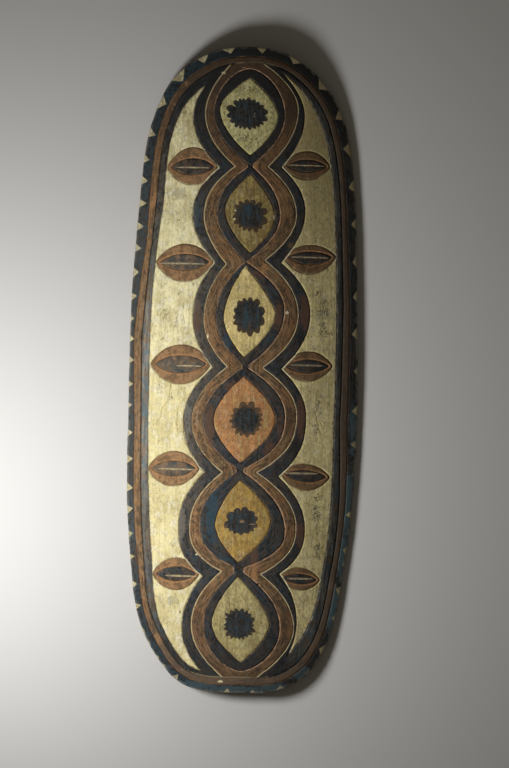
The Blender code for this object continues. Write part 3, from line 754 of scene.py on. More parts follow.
def addEdge(skin, edge, inwards):        # over the front corner, down the side and to the back corner
    front, back, thick, rings = board["frontRound"], board["backRound"], board["edgeThick"], []
    for turn in meshing["corner"]:
        a = math.radians(turn)
        ring = edge + inwards * (front * (1 - math.sin(a)))
        drop = front * (1 - math.cos(a))
        rings.append(skin.addRing(ring, faceTop - fall(ring) + hewn(ring) - drop, 0.1))
    for share in meshing["flank"]:
        level = faceTop - fall(edge) + hewn(edge) * (1 - share) - (front + (thick - front - back) * share)
        rings.append(skin.addRing(edge, level, 0.2 + 0.5 * share))
    for turn in meshing["corner"][:-1]:
        a = math.radians(turn)
        ring = edge + inwards * (back * (1 - math.cos(a)))
        rings.append(skin.addRing(ring, faceTop - fall(ring) - (thick - back * (1 - math.sin(a))), 0.85))
    return rings


def addBack(skin, backRing, feet):
    loops = [foot if depthIn(foot.mean(0)[None], foot)[0] > 0 else foot[::-1] for foot in feet]
    step = meshing["back"]
    grid = gridInside(backRing, step, step * meshing["fromEdge"])
    for loop in loops:
        grid = grid[np.abs(depthIn(grid, loop)) > step * meshing["apart"]]

    def underLevel(places):
        fade = np.clip(depthIn(places, backRing) / relief["backEdge"], 0, 1)
        return backLevel(places) + adzed(places) * fade

    return skin.addSurface(backRing, [(foot, True) for foot in feet], grid, underLevel, 1.0, False, loops)


def buildShield():
    skin, sections, sides = Skin(), gripRings(), grip["sides"]
    edge, inwards = boardEdge()
    frontRing, backRing = (edge + inwards * board[corner] for corner in ("frontRound", "backRound"))
    front = skin.addSurface(frontRing, cutPaths + toothLines, facePoints(), faceLevel, 0.0, True)
    rings = addEdge(skin, edge, inwards)
    back = addBack(skin, backRing, [sections[0][:, :2], sections[-1][:, :2]])
    frontRim, backRim = ([surface[i] for i in range(len(edge))] for surface in (front, back))
    skin.bridge([frontRim, *rings, backRim])
    starts = (len(edge), len(edge) + sides)
    firstFoot, lastFoot = ([back[start + i] for i in range(sides)] for start in starts)
    bar = [skin.addRing(section[:, :2], section[:, 2], 1.0) for section in sections[1:-1]]
    skin.bridge([firstFoot, *bar, lastFoot])
    return np.array(skin.verts), skin.faces, np.array(skin.side)


def newObject(name, data):
    made = bpy.data.objects.new(name, data)
    bpy.context.scene.collection.objects.link(made)
    return made


print("shield: mesh")
verts, faces, side = buildShield()
print(f"shield: {len(verts)} points, {sum(len(face) - 2 for face in faces)} triangles")
mesh = bpy.data.meshes.new("carved_shield")
mesh.from_pydata(verts.tolist(), [], faces)
mesh.validate()
shield = newObject("carved_shield", mesh)
mesh.shade_smooth()
mesh.set_sharp_from_angle(angle=math.radians(meshing["sharp"]))


# Stains and worn places by their tint: mark, half width and half height in millimetres, strength
stains = dict(
    brown=[
        (265, 91, 13, 40, 0.8), (253, -68, 12, 38, 0.8), (200, 165, 18, 22, 0.6), (266, -253, 12, 36, 0.7),
        (-205, 76, 10, 36, 0.8), (70, -287, 8, 30, 1.0), (258, -86, 8, 26, 0.9), (-138, -84, 10, 44, 1.0),
        (122, -124, 12, 22, 0.8), (-42, -25, 20, 14, 0.7), (130, 215, 10, 36, 0.5), (-80, 478, 24, 8, 0.6),
        (-2, 479, 26, 8, 0.6), (170, -90, 10, 50, 0.6), (60, 150, 16, 14, 0.6), (-125, -430, 10, 24, 0.5),
        (150, 86, 9, 30, 0.9), (-170, 410, 9, 20, 0.4), (-482, 20, 8, 60, 0.5), (-478, -160, 8, 60, 0.5),
        (-232, 238, 9, 44, 0.6), (-245, -240, 8, 40, 0.4),
    ],
    pale=[
        (-234, -76, 9, 40, 0.8), (-424, 90, 9, 60, 0.4), (-425, 0, 9, 80, 0.5), (-418, -120, 9, 80, 0.6),
        (-250, -240, 9, 44, 0.9), (-480, -40, 8, 90, 0.4), (-458, -260, 10, 50, 0.4),
        (410, -330, 12, 30, 0.5), (492, 60, 6, 40, 0.5), (-208, 76, 9, 40, 0.8), (-193, -79, 7, 34, 0.6),
        (-230, 238, 8, 44, 0.9), (-452, -75, 5, 60, 0.6),
    ],
    blue=[
        (-115, -226, 14, 60, 0.9), (476, -205, 12, 80, 1.0), (-180, -489, 44, 9, 1.0),
        (10, -495, 60, 8, 1.0), (170, -491, 40, 9, 0.9), (300, -468, 30, 14, 1.0),
        (425, -375, 16, 50, 1.0), (-310, -466, 22, 12, 0.7), (-262, 469, 22, 12, 0.5),
        (-356, 431, 22, 24, 0.5), (-441, 272, 12, 60, 0.3), (-476, 123, 9, 50, 0.3),
        (-482, -43, 8, 130, 0.3), (-472, -244, 9, 70, 0.4), (-71, -295, 14, 14, 0.7),
        (-68, 46, 12, 40, 0.5), (-218, 235, 9, 50, 0.6), (-416, 210, 9, 60, 0.5), (462, -290, 14, 60, 1.0),
        (485, -90, 8, 60, 0.8), (-420, -60, 9, 90, 0.5),
    ],
    soot=[
        (178, 404, 12, 44, 0.9), (202, -76, 9, 36, 0.9), (239, -118, 9, 22, 1.0), (205, -389, 10, 38, 0.9),
        (-169, -392, 9, 38, 0.6), (-408, 275, 6, 50, 0.35), (-143, 439, 14, 20, 0.7),
        (424, 112, 10, 70, 0.7), (431, -43, 10, 70, 0.7), (419, -198, 10, 50, 0.6),
        (400, -307, 12, 40, 0.6), (192, -448, 14, 14, 0.6), (150, 200, 8, 50, 0.4),
        (140, 470, 40, 14, 0.6), (260, 450, 24, 16, 0.5), (-245, 334, 12, 6, 0.7), (-455, -60, 4, 90, 0.5),
        (-440, -230, 5, 50, 0.6), (-450, 60, 4, 50, 0.4),
    ],
    orange=[
        (75, -303, 8, 40, 0.5), (-405, 260, 7, 24, 0.7), (-342, 412, 14, 26, 0.4),
        (-345, -420, 11, 16, 0.65), (30, 319, 7, 16, 0.7), (82, 158, 9, 14, 0.6),
        (-411, -366, 6, 24, 0.35), (-287, 441, 18, 10, 0.4), (-141, 162, 12, 12, 0.6),
        (216, 158, 14, 8, 0.7), (-256, 173, 5, 9, 0.8), (-232, -301, 24, 5, 0.5), (-221, -337, 24, 5, 0.6),
        (-193, -234, 6, 34, 0.5), (-320, -297, 14, 7, 0.5), (-180, 330, 16, 6, 0.5),
        (-260, 20, 30, 5, 0.4), (-280, -135, 30, 5, 0.4), (-430, 150, 5, 50, 0.3), (-205, 76, 9, 20, 0.4),
        (-170, -400, 7, 24, 0.2), (-440, -90, 4, 60, 0.4),
    ],
    grey=[
        (-281, -359, 14, 10, 1.0), (-293, 270, 14, 14, 0.9), (277, -351, 12, 14, 0.6),
        (-308, 238, 10, 10, 0.5), (-257, 60, 10, 12, 0.5), (-330, -110, 14, 30, 0.3),
        (330, -60, 14, 40, 0.5), (340, 90, 14, 50, 0.5),
    ],
    fleck=[
        (-357, 129, 8, 12, 0.4), (-346, 85, 8, 14, 0.4), (-352, 47, 8, 10, 0.4), (-291, 118, 8, 12, 0.4),
        (-288, 78, 8, 12, 0.4), (-227, 131, 7, 7, 0.4), (319, 122, 6, 12, 0.8), (346, 107, 10, 8, 1.0),
        (345, 92, 12, 12, 1.0), (-8, 434, 34, 8, 0.8), (-8, 359, 36, 8, 0.8), (-116, 397, 8, 32, 0.6),
        (98, 400, 8, 30, 0.6), (340, 71, 11, 8, 0.9), (354, 59, 16, 7, 0.9), (340, -194, 9, 9, 0.9),
        (337, -209, 9, 9, 0.9), (334, -223, 9, 9, 0.9), (340, -247, 9, 9, 0.8), (346, -271, 10, 9, 0.9),
        (342, -285, 9, 9, 0.9), (325, -90, 9, 16, 0.6), (330, -44, 9, 16, 0.5), (-290, 227, 8, 8, 0.6),
        (-369, -26, 8, 10, 0.5), (-306, -44, 8, 10, 0.5), (40, 440, 16, 10, 0.6), (20, 350, 20, 12, 0.5),
    ],
    lime=[(40, 475, 50, 10, 1.2), (-30, -470, 74, 16, 1.0)],
)


def longer(line):        # a side of the chain, run on past the border at both ends
    ends = []
    for end, before in ((line[0], line[4]), (line[-1], line[-5])):
        ends.append(end + (end - before) / np.linalg.norm(end - before) * chain["runOut"])
    return np.concatenate((ends[:1], line, ends[1:]))


def between(lines):        # the loop between a left and a right line, anticlockwise
    return np.concatenate((longer(lines["left"]), longer(lines["right"])[::-1]))


def slitDepth(places):        # metres inside the pale slits, which are thin at both ends
    deepest = np.full(len(places), -1.0)
    for start, end in slits:
        step = end - start
        share = np.clip(((places - start) * step).sum(1) / (step**2).sum(), 0, 1)
        away = np.linalg.norm(places - start - share[:, None] * step, axis=1)
        half = eyes["slitThin"] + (eyes["slitThick"] - eyes["slitThin"]) * np.sqrt(1 - (2 * share - 1) ** 2)
        deepest = np.maximum(deepest, half - away)
    return deepest


def stained(places, rows):        # 1 in the middle of a stain of full strength, fading out past its edge
    total = np.zeros(len(places))
    for across, along, wide, tall, strength in rows:
        off = (places - place((across, along))) / (wide / 1000, tall / 1000)
        total = np.maximum(total, strength * np.clip(1.5 - np.linalg.norm(off, axis=1), 0, 1))
    return total


def paleLine(places, cell):        # strength of the line outside the chain's brown band
    table = np.array([row["pale"] for row in chain["cells"]])
    strength = np.where(places[:, 0] < 0, table[cell, 0], table[cell, 1])
    for waist in chain["waists"][1:-1]:
        near = np.exp(-((places[:, 1] - place(waist["left"][0])[1]) / chain["paleFade"]) ** 2)
        strength = np.maximum(strength, near)
    return strength


def setMark(mesh, name, values):
    isPlace = np.ndim(values) == 2
    mark = mesh.attributes.new(name, "FLOAT_VECTOR" if isPlace else "FLOAT", "POINT")
    mark.data.foreach_set("vector" if isPlace else "value", np.asarray(values, np.float32).ravel())


def rosetteValue(name, cell):        # a value of the rosette that is nearest to each point
    return np.array([rosette[name] for rosette in rosettes])[cell]


def addMarks(mesh, verts, side):        # distances to the painted shapes, in millimetres, and stains
    places, fine, waists = verts[:, :2], meshing["fine"], chain["waists"][1:-1]
    shapes = dict(
        rimIn=[outline], brownIn=[rimLine], darkIn=[brownLine], fieldIn=[fieldLine],
        chainDark=[between(darkLines)], chainBrown=[between(brownLines)],
        chainInner=[closed(left, right) for left, right in zip(innerLines["left"], innerLines["right"])],
        lensIn=lenses, eyeIn=leaves, pupilIn=pupils,
    )
    followed = dict(darkIn="borderRun", chainBrown="chainRun", pupilIn="eyeRun")
    for name, loops in shapes.items():
        away, _, foot = nearestOn(places, [(evenLoop(loop, fine), True) for loop in loops])
        if name == "chainInner":
            for waist in waists:
                off = np.linalg.norm(places - place(waist["crossing"]), axis=1)
                away = np.maximum(away, waist["core"] / 1000 - off)
        setMark(mesh, name, away * 1000)
        if name in followed:        # the place on the shape's edge, and the distance from it
            setMark(mesh, followed[name], np.column_stack((foot, away)))
    cornered = dict(
        rosetteIn=[loop for loop, _ in rosetteShapes],
        toothIn=[toothCorners(rimTooth) for rimTooth in rimTeeth],
    )
    for name, loops in cornered.items():
        loops = [(divided(loop, True, fine), True) for loop in loops]
        setMark(mesh, name, signedDistance(places, loops) * 1000)
    setMark(mesh, "slitIn", slitDepth(places) * 1000)
    setMark(mesh, "cutNear", np.where(side < 0.05, carved(places)[1], 0))
    setMark(mesh, "backShare", side)
    levels = np.array([place(waist["crossing"])[1] for waist in waists])
    cell = np.searchsorted(-levels, -places[:, 1])
    setMark(mesh, "cell", cell)
    setMark(mesh, "paleLine", paleLine(places, cell))
    centres = np.array([place(rosette["centre"]) for rosette in rosettes])[cell]
    radius = np.linalg.norm((places - centres) / rosetteValue("half", cell), axis=1)
    setMark(mesh, "petalOut", radius - rosetteValue("brown", cell))
    setMark(mesh, "petalFaint", rosetteValue("faint", cell))
    for tint, rows in stains.items():
        setMark(mesh, tint + "Stain", stained(places, rows))


print("shield: painted shapes")
addMarks(mesh, verts, side)


class Wire:        # a shader socket that can be used in sums
    def __init__(self, graph, socket):
        self.graph, self.socket = graph, socket

    def __add__(self, other):
        return self.graph.math("ADD", self, other)

    def __sub__(self, other):
        return self.graph.math("SUBTRACT", self, other)

    def __rsub__(self, other):
        return self.graph.math("SUBTRACT", other, self)

    def __mul__(self, other):
        return self.graph.math("MULTIPLY", self, other)

    def __truediv__(self, other):
        return self.graph.math("DIVIDE", self, other)

    def __pow__(self, other):
        return self.graph.math("POWER", self, other)

    def __abs__(self):
        return self.graph.math("ABSOLUTE", self)

    def __or__(self, other):        # the larger of two masks
        return self.graph.math("MAXIMUM", self, other)

    __radd__, __rmul__ = __add__, __mul__

    def between(self, start, end):        # 0 at start to 1 at end, clamped
        inputs = {0: self, 1: start, 2: end, 3: 0.0, 4: 1.0}
        return self.graph.node("ShaderNodeMapRange", dict(clamp=True), inputs)


class Graph:
    def __init__(self, material):
        material.use_nodes = True
        self.tree = material.node_tree
        self.tree.nodes.clear()

    def node(self, kind, settings=None, inputs=None, out=0):
        made = self.tree.nodes.new(kind)
        for name, value in (settings or {}).items():
            if name == "stops":
                self.setStops(made.color_ramp, value)
            else:
                setattr(made, name, value)
        for name, value in (inputs or {}).items():
            if isinstance(value, Wire):
                self.tree.links.new(value.socket, made.inputs[name])
            else:
                made.inputs[name].default_value = value
        return Wire(self, made.outputs[out]) if len(made.outputs) else None

    def setStops(self, ramp, stops):        # bands of one colour each
        ramp.interpolation = "CONSTANT"
        while len(ramp.elements) < len(stops):
            ramp.elements.new(0.5)
        for element, (at, colour) in zip(ramp.elements, stops):
            element.position = at
            element.color = (*colour, 1)

    def math(self, operation, *values):
        return self.node("ShaderNodeMath", dict(operation=operation), dict(enumerate(values)))

    def mark(self, name, out="Fac"):
        return self.node("ShaderNodeAttribute", dict(attribute_name=name), out=out)

    def mix(self, share, under, over):        # each a paint's name, a colour or a socket
        under, over = (paints.get(tint, tint) for tint in (under, over))
        under, over = ((*tint, 1) if isinstance(tint, tuple) else tint for tint in (under, over))
        return self.node("ShaderNodeMix", dict(data_type="RGBA"), {0: share, 6: under, 7: over}, 2)

    def coats(self, colour, *layers):        # each covers a share of what is under it
        for share, tint in layers:
            colour = self.mix(share, colour, tint)
        return colour

    def spread(self, coords, scales, shift, detail, rough):        # noise over coordinates in metres
        inputs = {0: coords, 1: scales, 2: (shift, shift * 1.7, shift * 0.6)}
        scaled = self.node("ShaderNodeVectorMath", dict(operation="MULTIPLY_ADD"), inputs)
        inputs = {"Vector": scaled, "Scale": 1.0, "Detail": detail, "Roughness": rough}
        return self.node("ShaderNodeTexNoise", None, inputs)

    def surface(self, inputs):
        shader = self.node("ShaderNodeBsdfPrincipled", None, inputs)
        self.node("ShaderNodeOutputMaterial", None, {"Surface": shader})


paints = dict(
    cream=(0.85, 0.75, 0.405), creamWorn=(0.54, 0.445, 0.21), creamGrey=(0.34, 0.31, 0.20),
    creamPale=(0.97, 0.89, 0.53), chalk=(0.95, 0.91, 0.71), lime=(0.84, 0.77, 0.50),
    ochre=(0.80, 0.62, 0.22), olive=(0.40, 0.37, 0.13), halo=(0.25, 0.185, 0.085),
    paleLine=(0.66, 0.54, 0.31), line=(0.46, 0.29, 0.18), fleck=(0.085, 0.078, 0.045),
    slate=(0.050, 0.054, 0.055), slateBlue=(0.031, 0.065, 0.085), slateBrown=(0.105, 0.066, 0.045),
    slatePale=(0.185, 0.175, 0.145), slateWarm=(0.088, 0.064, 0.044), plum=(0.062, 0.047, 0.056),
    # soot also serves as painted shade, and edge as a painted highlight along the board's edge besides its
    # wear
    rust=(0.116, 0.064, 0.041), soot=(0.017, 0.017, 0.016), rim=(0.034, 0.046, 0.050),
    rimPale=(0.085, 0.112, 0.116), rimBlue=(0.090, 0.140, 0.158), edge=(0.34, 0.33, 0.27),
    # dust, dustPale and dustBlue also carry painted sheen where they lie on the lit left side
    dust=(0.215, 0.178, 0.125), dustPale=(0.36, 0.33, 0.27), dustBlue=(0.185, 0.245, 0.270),
    brown=(0.154, 0.097, 0.047), brownDeep=(0.062, 0.041, 0.027), brownLight=(0.34, 0.220, 0.118),
    brownOrange=(0.29, 0.145, 0.058), brownOlive=(0.125, 0.105, 0.050), brownGrey=(0.130, 0.105, 0.080),
    orange=(0.44, 0.225, 0.095), petalBrown=(0.085, 0.056, 0.030), petalLight=(0.24, 0.135, 0.070),
    wood=(0.185, 0.105, 0.055), woodDark=(0.070, 0.038, 0.022), woodPale=(0.30, 0.19, 0.105),
)

# The paint of each lens, from the top down, and its worn tone
lensPaints = [
    ((0.84, 0.76, 0.37), (0.44, 0.40, 0.17)),
    ((0.44, 0.315, 0.105), (0.18, 0.120, 0.045)),
    ((0.89, 0.71, 0.31), (0.54, 0.41, 0.16)),
    ((0.60, 0.300, 0.120), (0.34, 0.155, 0.062)),
    ((0.54, 0.340, 0.090), (0.30, 0.180, 0.050)),
    ((0.58, 0.48, 0.22), (0.30, 0.24, 0.10)),
]

# Small touches of paint, each with its tint, mark, half width and half height in millimetres
touches = [
    ("lime", -67, -483, 6, 3), ("lime", 120, 237, 2, 6), ("lime", -156, 51, 2, 6), ("lime", 186, 90, 4, 4),
    ("lime", 239, 281, 3, 2.5), ("lime", -114, 459, 5, 3), ("line", -27, 468, 4, 1.2),
    ("lime", -181, -287, 4, 3), ("lime", 461, -298, 3, 3), ("slatePale", 24, 395, 2, 8),
    ("line", 53, -238, 9, 1.0), ("slateBrown", 23, 69, 2.5, 9), ("brownLight", 12, -234, 6, 4),
    ("slateBlue", 8, 84, 3, 32), ("slateBlue", 6, 247, 6, 15), ("slateBrown", -262, -462, 16, 6),
    ("slateBrown", -445, -290, 5, 22), ("lime", -50, 246, 2.6, 2.6), ("lime", -52, 233, 2.6, 2.2),
    ("brown", 197, 194, 8, 7),
]

# Each earth paint: its base, a deep and a pale tone, and two tints
earths = dict(
    brown=("brown", "brownDeep", "brownLight", "brownOrange", "brownOlive"),
    dark=("slate", "soot", "slateBlue", "slateWarm", "plum"),
    core=("slate", "soot", "slateBlue", "soot", "slateBlue"),
    borderDark=("rim", "soot", "rimPale", "slateWarm", "plum"),
)

# Noise over the surface, from broad patches to fine grit, and the grain of the wood: waves to a metre
# across and along, a shift that sets it apart from the others, detail and roughness
grain = dict(
    patch=(24, 17, 1, 3.0, 0.5),
    blot=(72, 55, 7, 3.0, 0.5),
    blotTwo=(60, 42, 16, 4.0, 0.6),
    mottle=(165, 120, 4, 3.0, 0.6),
    mottleTwo=(120, 80, 13, 3.0, 0.6),
    speck=(330, 230, 9, 2.0, 0.5),
    speckTwo=(260, 170, 15, 2.0, 0.5),
    grit=(700, 520, 3, 2.0, 0.5),
    streak=(170, 14, 5, 4.0, 0.62),
    streakTwo=(120, 9, 12, 4.0, 0.6),
    fibre=(620, 38, 2, 3.0, 0.5),
    rings=(70, 3.0, 0.4, 3.0, 0.55),
    crackle=(130, 34, 14, 4.0, 0.65),
    crackleTwo=(210, 75, 17, 4.0, 0.65),
    scrawl=(88, 74, 19, 2.0, 0.5),
    handA=(62, 50, 11, 2.0, 0.5),        # how two hands waver as they paint an edge
    handB=(55, 66, 6, 2.0, 0.5),
)

# How the paint and the bare wood take the light
finish = dict(rough=0.72, streakRough=0.2, specular=0.2, bump=0.6, bumpDepth=0.0016)

# Brush strokes along a shape's edge: waves to a metre along it and away from it, and a shift
brushes = dict(chain=(34, 370, 3), border=(34, 370, 8), eye=(50, 400, 5))

print("shield: paint")
material = bpy.data.materials.new(board["slot"])
paint = Graph(material)
coords = paint.node("ShaderNodeTexCoord", out="Object")
across, along = (paint.node("ShaderNodeSeparateXYZ", None, {0: coords}, axis) for axis in (0, 1))
# m has the mesh's marks and n the noise, by name
m = {mark.name: paint.mark(mark.name) for mark in mesh.attributes if mark.data_type == "FLOAT"}
n = {name: paint.spread(coords, (x, y, x), *rest) for name, (x, y, *rest) in grain.items()}
strokes = {
    name: paint.spread(paint.mark(name + "Run", "Vector"), (run, run, away), shift, 4.0, 0.6)
    for name, (run, away, shift) in brushes.items()
}
ragged = (n["grit"] - 0.5) * 2.4 + (n["speck"] - 0.5) * 3.0        # how much an edge is, in millimetres
handA, handB = ((n[hand] - 0.5) * 7.0 + ragged for hand in ("handA", "handB"))
uneven = (n["mottle"] - 0.5) * 2.2 + (n["blot"] - 0.5) * 1.4
dryBrush = (n["mottle"] * 0.6 + n["blot"] * 0.4).between(0.62, 0.42)        # less where it ran dry


def inside(name, hand, soft=0.9, wobble=0.6):        # 1 where a shape is painted
    return (m[name] + hand * wobble).between(-soft / 2, soft / 2)


def edgeLine(name, hand, half, shift=0.0, soft=0.9, wobble=0.45):        # 1 on a line along its edge
    return (half - abs(m[name] + hand * wobble - shift)).between(-soft / 2, soft / 2)


def patchy(tint):        # a stain with an uneven edge
    return (m[tint + "Stain"] * 1.55 - 0.28 + uneven).between(0.15, 0.85)


def fleckMask():        # dark flecks and short squiggles
    amount = m["fleckStain"]
    flecks = amount * 0.16 + n["speck"] * 0.45 + n["grit"] * 0.25 + n["mottle"] * 0.3
    flecks = flecks.between(0.61, 0.68) * (0.30 + 0.55 * amount)
    scrawl = abs(n["scrawl"] - 0.5).between(0.065, 0.030)
    scrawl = scrawl * n["speck"].between(0.43, 0.51) * n["speckTwo"].between(0.39, 0.47)
    return flecks | (scrawl * amount.between(0.20, 0.55))


def sheenAndDustMask():        # dust and rubbed paint on the left middle, with painted sheen where the light falls
    sheenAndDust = 1.0 - ((across + 0.20) / 0.15) ** 2 - ((along - 0.01) / 0.48) ** 2
    return (sheenAndDust + (n["blot"] - 0.5) * 1.6 + (n["mottle"] - 0.5) * 2.2).between(-0.1, 1.1)


def shadeEndsAndRightMask():        # painted shade: darker towards the ends and the right
    ends = along.between(0.36, 0.62) | (along.between(-0.46, -0.66) * 0.6)
    return (ends | (across.between(0.03, 0.2) * 0.55)) * 0.8


flecks, sheenAndDust, shadeEndsAndRight = fleckMask(), sheenAndDustMask(), shadeEndsAndRightMask()


def creamPaint(base, worn, dots, murk, grey):        # thin over open grain, crazed and dirty
    crazed = abs(n["crackle"] - 0.5).between(0.022, 0.004) * n["patch"].between(0.40, 0.52)
    crazed = crazed * n["mottle"].between(0.40, 0.52)
    fineCrazed = abs(n["crackleTwo"] - 0.5).between(0.018, 0.002) * n["blot"].between(0.48, 0.58)
    return paint.coats(
        base,
        (n["patch"].between(0.46, 0.58) * 0.38, worn),
        (n["blotTwo"].between(0.50, 0.60) * (0.28 + 0.35 * murk), worn),
        (n["blot"].between(0.52, 0.60) * (0.50 - 0.48 * murk), "chalk"),
        (n["streakTwo"].between(0.52, 0.60) * (0.20 + 0.45 * murk), "olive"),
        (n["streak"].between(0.50, 0.60) * (0.35 + 0.35 * murk), worn),
        (n["mottle"].between(0.50, 0.61) * (0.35 + 0.35 * murk), worn),
        (n["fibre"].between(0.56, 0.66) * 0.22, worn),
        ((crazed | fineCrazed) * (0.60 + 0.30 * murk), "fleck"),
        (n["speckTwo"].between(0.56, 0.65) * (0.20 + 0.45 * murk), grey),
        (dots, "fleck"),
    )


def earthPaint(brushed, tints):        # brushed along its band, thick and thin
    base, deep, pale, tint, other = tints
    return paint.coats(
        base,
        (n["blot"].between(0.47, 0.58) * 0.75, other),
        (n["blotTwo"].between(0.50, 0.57) * 0.78, deep),
        (n["patch"].between(0.47, 0.55) * 0.66, tint),
        (brushed.between(0.48, 0.57) * 0.85, deep),
        (brushed.between(0.46, 0.38) * 0.75, pale),
        (n["mottle"].between(0.51, 0.61) * 0.30, pale),
        (n["mottleTwo"].between(0.50, 0.58) * 0.50, tint),
        (n["speck"].between(0.54, 0.62) * 0.22, deep),
    )


def brownPaint(name):
    return paint.coats(
        earthPaint(strokes[name], earths["brown"]),
        # painted shade towards the ends and the right, then dust with painted sheen on the lit left
        (shadeEndsAndRight, "brownDeep"),
        (sheenAndDust * 0.32, "brownLight"),
        (patchy("pale") * 0.45, "line"),
        (patchy("soot") * 0.60, "brownDeep"),
        (patchy("orange") * 0.70, "orange"),
    )


def darkPaint(name, earth="dark", blue="slateBlue"):
    return paint.coats(
        earthPaint(strokes[name], earths[earth]),
        # painted shade towards the ends and the right, then dust with painted sheen on the lit left
        (shadeEndsAndRight, "soot"),
        (sheenAndDust * 0.50, "dust"),
        (patchy("pale") * 0.65, "slatePale"),
        (patchy("brown") * 0.85, "rust"),
        (patchy("blue") * 0.75, blue),
        (patchy("soot") * 0.60, "soot"),
    )


def creamField():        # painted shade, darker and yellower towards the right and the top, with more dirt in its mottles there; painted light, paler on the upper left
    lessShade = along.between(0.32, 0.16) * along.between(-0.54, -0.42)        # the middle of the right side
    shadeAndGrime = (across.between(0.00, 0.13) * (0.84 - 0.32 * lessShade)) | (along.between(0.38, 0.62) * 0.7)
    topShade = (across.between(0.02, 0.14) * along.between(0.20, 0.50)) | (along.between(0.42, 0.64) * 0.6)
    base = paint.coats(
        "cream",
        (shadeAndGrime * 0.50, "ochre"),
        (topShade * 0.78, "halo"),
        # painted light: paler cream on the upper left
        (along.between(-0.08, 0.10) * across.between(0.0, -0.10), "creamPale"),
    )
    worn = paint.mix(shadeAndGrime * 0.3, "creamWorn", "halo")
    cream = creamPaint(base, worn, flecks, shadeAndGrime, "creamGrey")
    return paint.mix(patchy("grey") * 0.45, cream, "creamGrey")


def eyeBrown(darker):
    # painted shade near the eye's edge and, through darker, on the right and at the top; the mottles and
    # blots are the paint's own
    shadeAndMottles = m["eyeIn"].between(4.5, 0.5) * (0.40 + 0.35 * darker)
    shadeAndMottles = shadeAndMottles | (n["mottleTwo"].between(0.52, 0.60) * 0.55)
    shadeAndMottles = shadeAndMottles | (n["blotTwo"].between(0.50, 0.60) * 0.62) | (darker * 0.34)
    return paint.coats(
        brownPaint("eye"),
        # painted light: lighter and more orange on the left
        (0.16 + 0.34 * across.between(-0.02, -0.15), "brownLight"),
        (0.16 + 0.22 * across.between(0.0, -0.15), "orange"),
        (shadeAndMottles, "petalBrown"),
    )


def withEyes(colour):
    haloes = m["chainDark"].between(-4.0, 0.0) | (0 - m["fieldIn"]).between(-3.5, 0.0)
    haloes = haloes | (m["eyeIn"].between(-3.5, 0.0) * 0.4)
    # painted shade: the eyes on the right are darker, most towards the top, and their orange ring fainter
    darker = across.between(0.02, 0.10) * (0.25 + 0.65 * along.between(0.26, 0.46))
    brown = eyeBrown(darker)
    ring = edgeLine("pupilIn", handB, half=1.4, shift=-2.3) * dryBrush * (1.0 - darker * 0.75)
    # the pupils turn browner where dust and painted sheen lie on the left
    pupil = paint.mix(n["blot"].between(0.44, 0.60) * (0.2 + 0.28 * sheenAndDust), darkPaint("eye"), brown)
    slit = (m["slitIn"] + ragged * 0.35).between(-0.5, 0.5) * (0.40 + dryBrush * 0.50)
    return paint.coats(
        colour,
        (haloes * n["mottle"].between(0.30, 0.62) * 0.55, "halo"),
        (inside("eyeIn", handA), brown),
        (ring, "orange"),
        (inside("pupilIn", handB), pupil),
        (slit, paint.mix(n["mottle"].between(0.45, 0.60) * 0.6, "paleLine", "dustPale")),
    )


def withDarkBand(colour, dark):        # the border's, and the thin pale lines beside it and the chain
    atEye = m["eyeIn"].between(-5.0, -2.0)
    onRight = across.between(0.10, 0.12)
    # dust and painted sheen on the band's left middle, and a little dust on the right
    bandSheenAndDust = along.between(0.26, 0.10) * along.between(-0.62, -0.56)
    bandSheenAndDust = bandSheenAndDust * (0.16 + 0.24 * along.between(-0.32, -0.15)) * across.between(-0.15, -0.18)
    bandSheenAndDust = bandSheenAndDust | (across.between(0.10, 0.14) * 0.13)
    dust = paint.mix(n["blot"].between(0.46, 0.54), "dustPale", "dustBlue")
    dust = paint.mix(n["blotTwo"].between(0.51, 0.57) * 0.8, dust, "brownLight")
    band = paint.mix(bandSheenAndDust * (0.4 + 1.3 * n["streak"].between(0.42, 0.58)), dark, dust)
    return paint.coats(
        colour,
        (edgeLine("chainDark", handA, half=1.2, shift=-1.3) * atEye * 0.9, "lime"),
        # painted highlight: a chalk line along the right field's edge, where the wall of the groove catches
        # the light
        (edgeLine("fieldIn", handB, half=1.5, shift=1.3) * onRight * (dryBrush * 1.5), "chalk"),
        (1 - inside("fieldIn", handB, soft=1.8), band),
    )


def withChain(colour):        # outer dark band, brown band and inner dark band
    dark = darkPaint("chain")
    pale = (m["paleLine"] * 1.15 - (n["mottle"] - 0.42) * 1.6).between(0.0, 0.7)
    return paint.coats(
        colour,
        (inside("chainDark", handA), dark),
        (inside("chainBrown", handB), brownPaint("chain")),
        (m["cutNear"].between(0.55, 1.15) * 0.40, "brownDeep"),
        (edgeLine("chainBrown", handB, half=1.15, wobble=0.3) * pale * 0.85, "paleLine"),
        (inside("chainInner", handA), dark),
        (edgeLine("chainInner", handA, half=1.15, shift=-0.8, wobble=0.35) * dryBrush, "line"),
    )


def lensTint(tone):        # each lens has its own paint
    last = len(lensPaints) - 1
    stops = [(max(i - 0.5, 0) / last, tones[tone]) for i, tones in enumerate(lensPaints)]
    return paint.node("ShaderNodeValToRGB", dict(stops=stops), {0: m["cell"] / last})


def withLenses(colour):
    clean, worn = lensTint(0), lensTint(1)
    grey = paint.mix(0.25, worn, "brownOlive")
    rubbed = m["lensIn"].between(9.0, 0.0) * n["blotTwo"].between(0.42, 0.56)
    lens = paint.mix(rubbed * 0.6, creamPaint(clean, worn, flecks * 0.8, 0.8, grey), worn)
    return paint.coats(
        colour,
        (m["lensIn"].between(-3.0, -0.5) * 0.6, "brownDeep"),
        (inside("lensIn", handB), lens),
    )


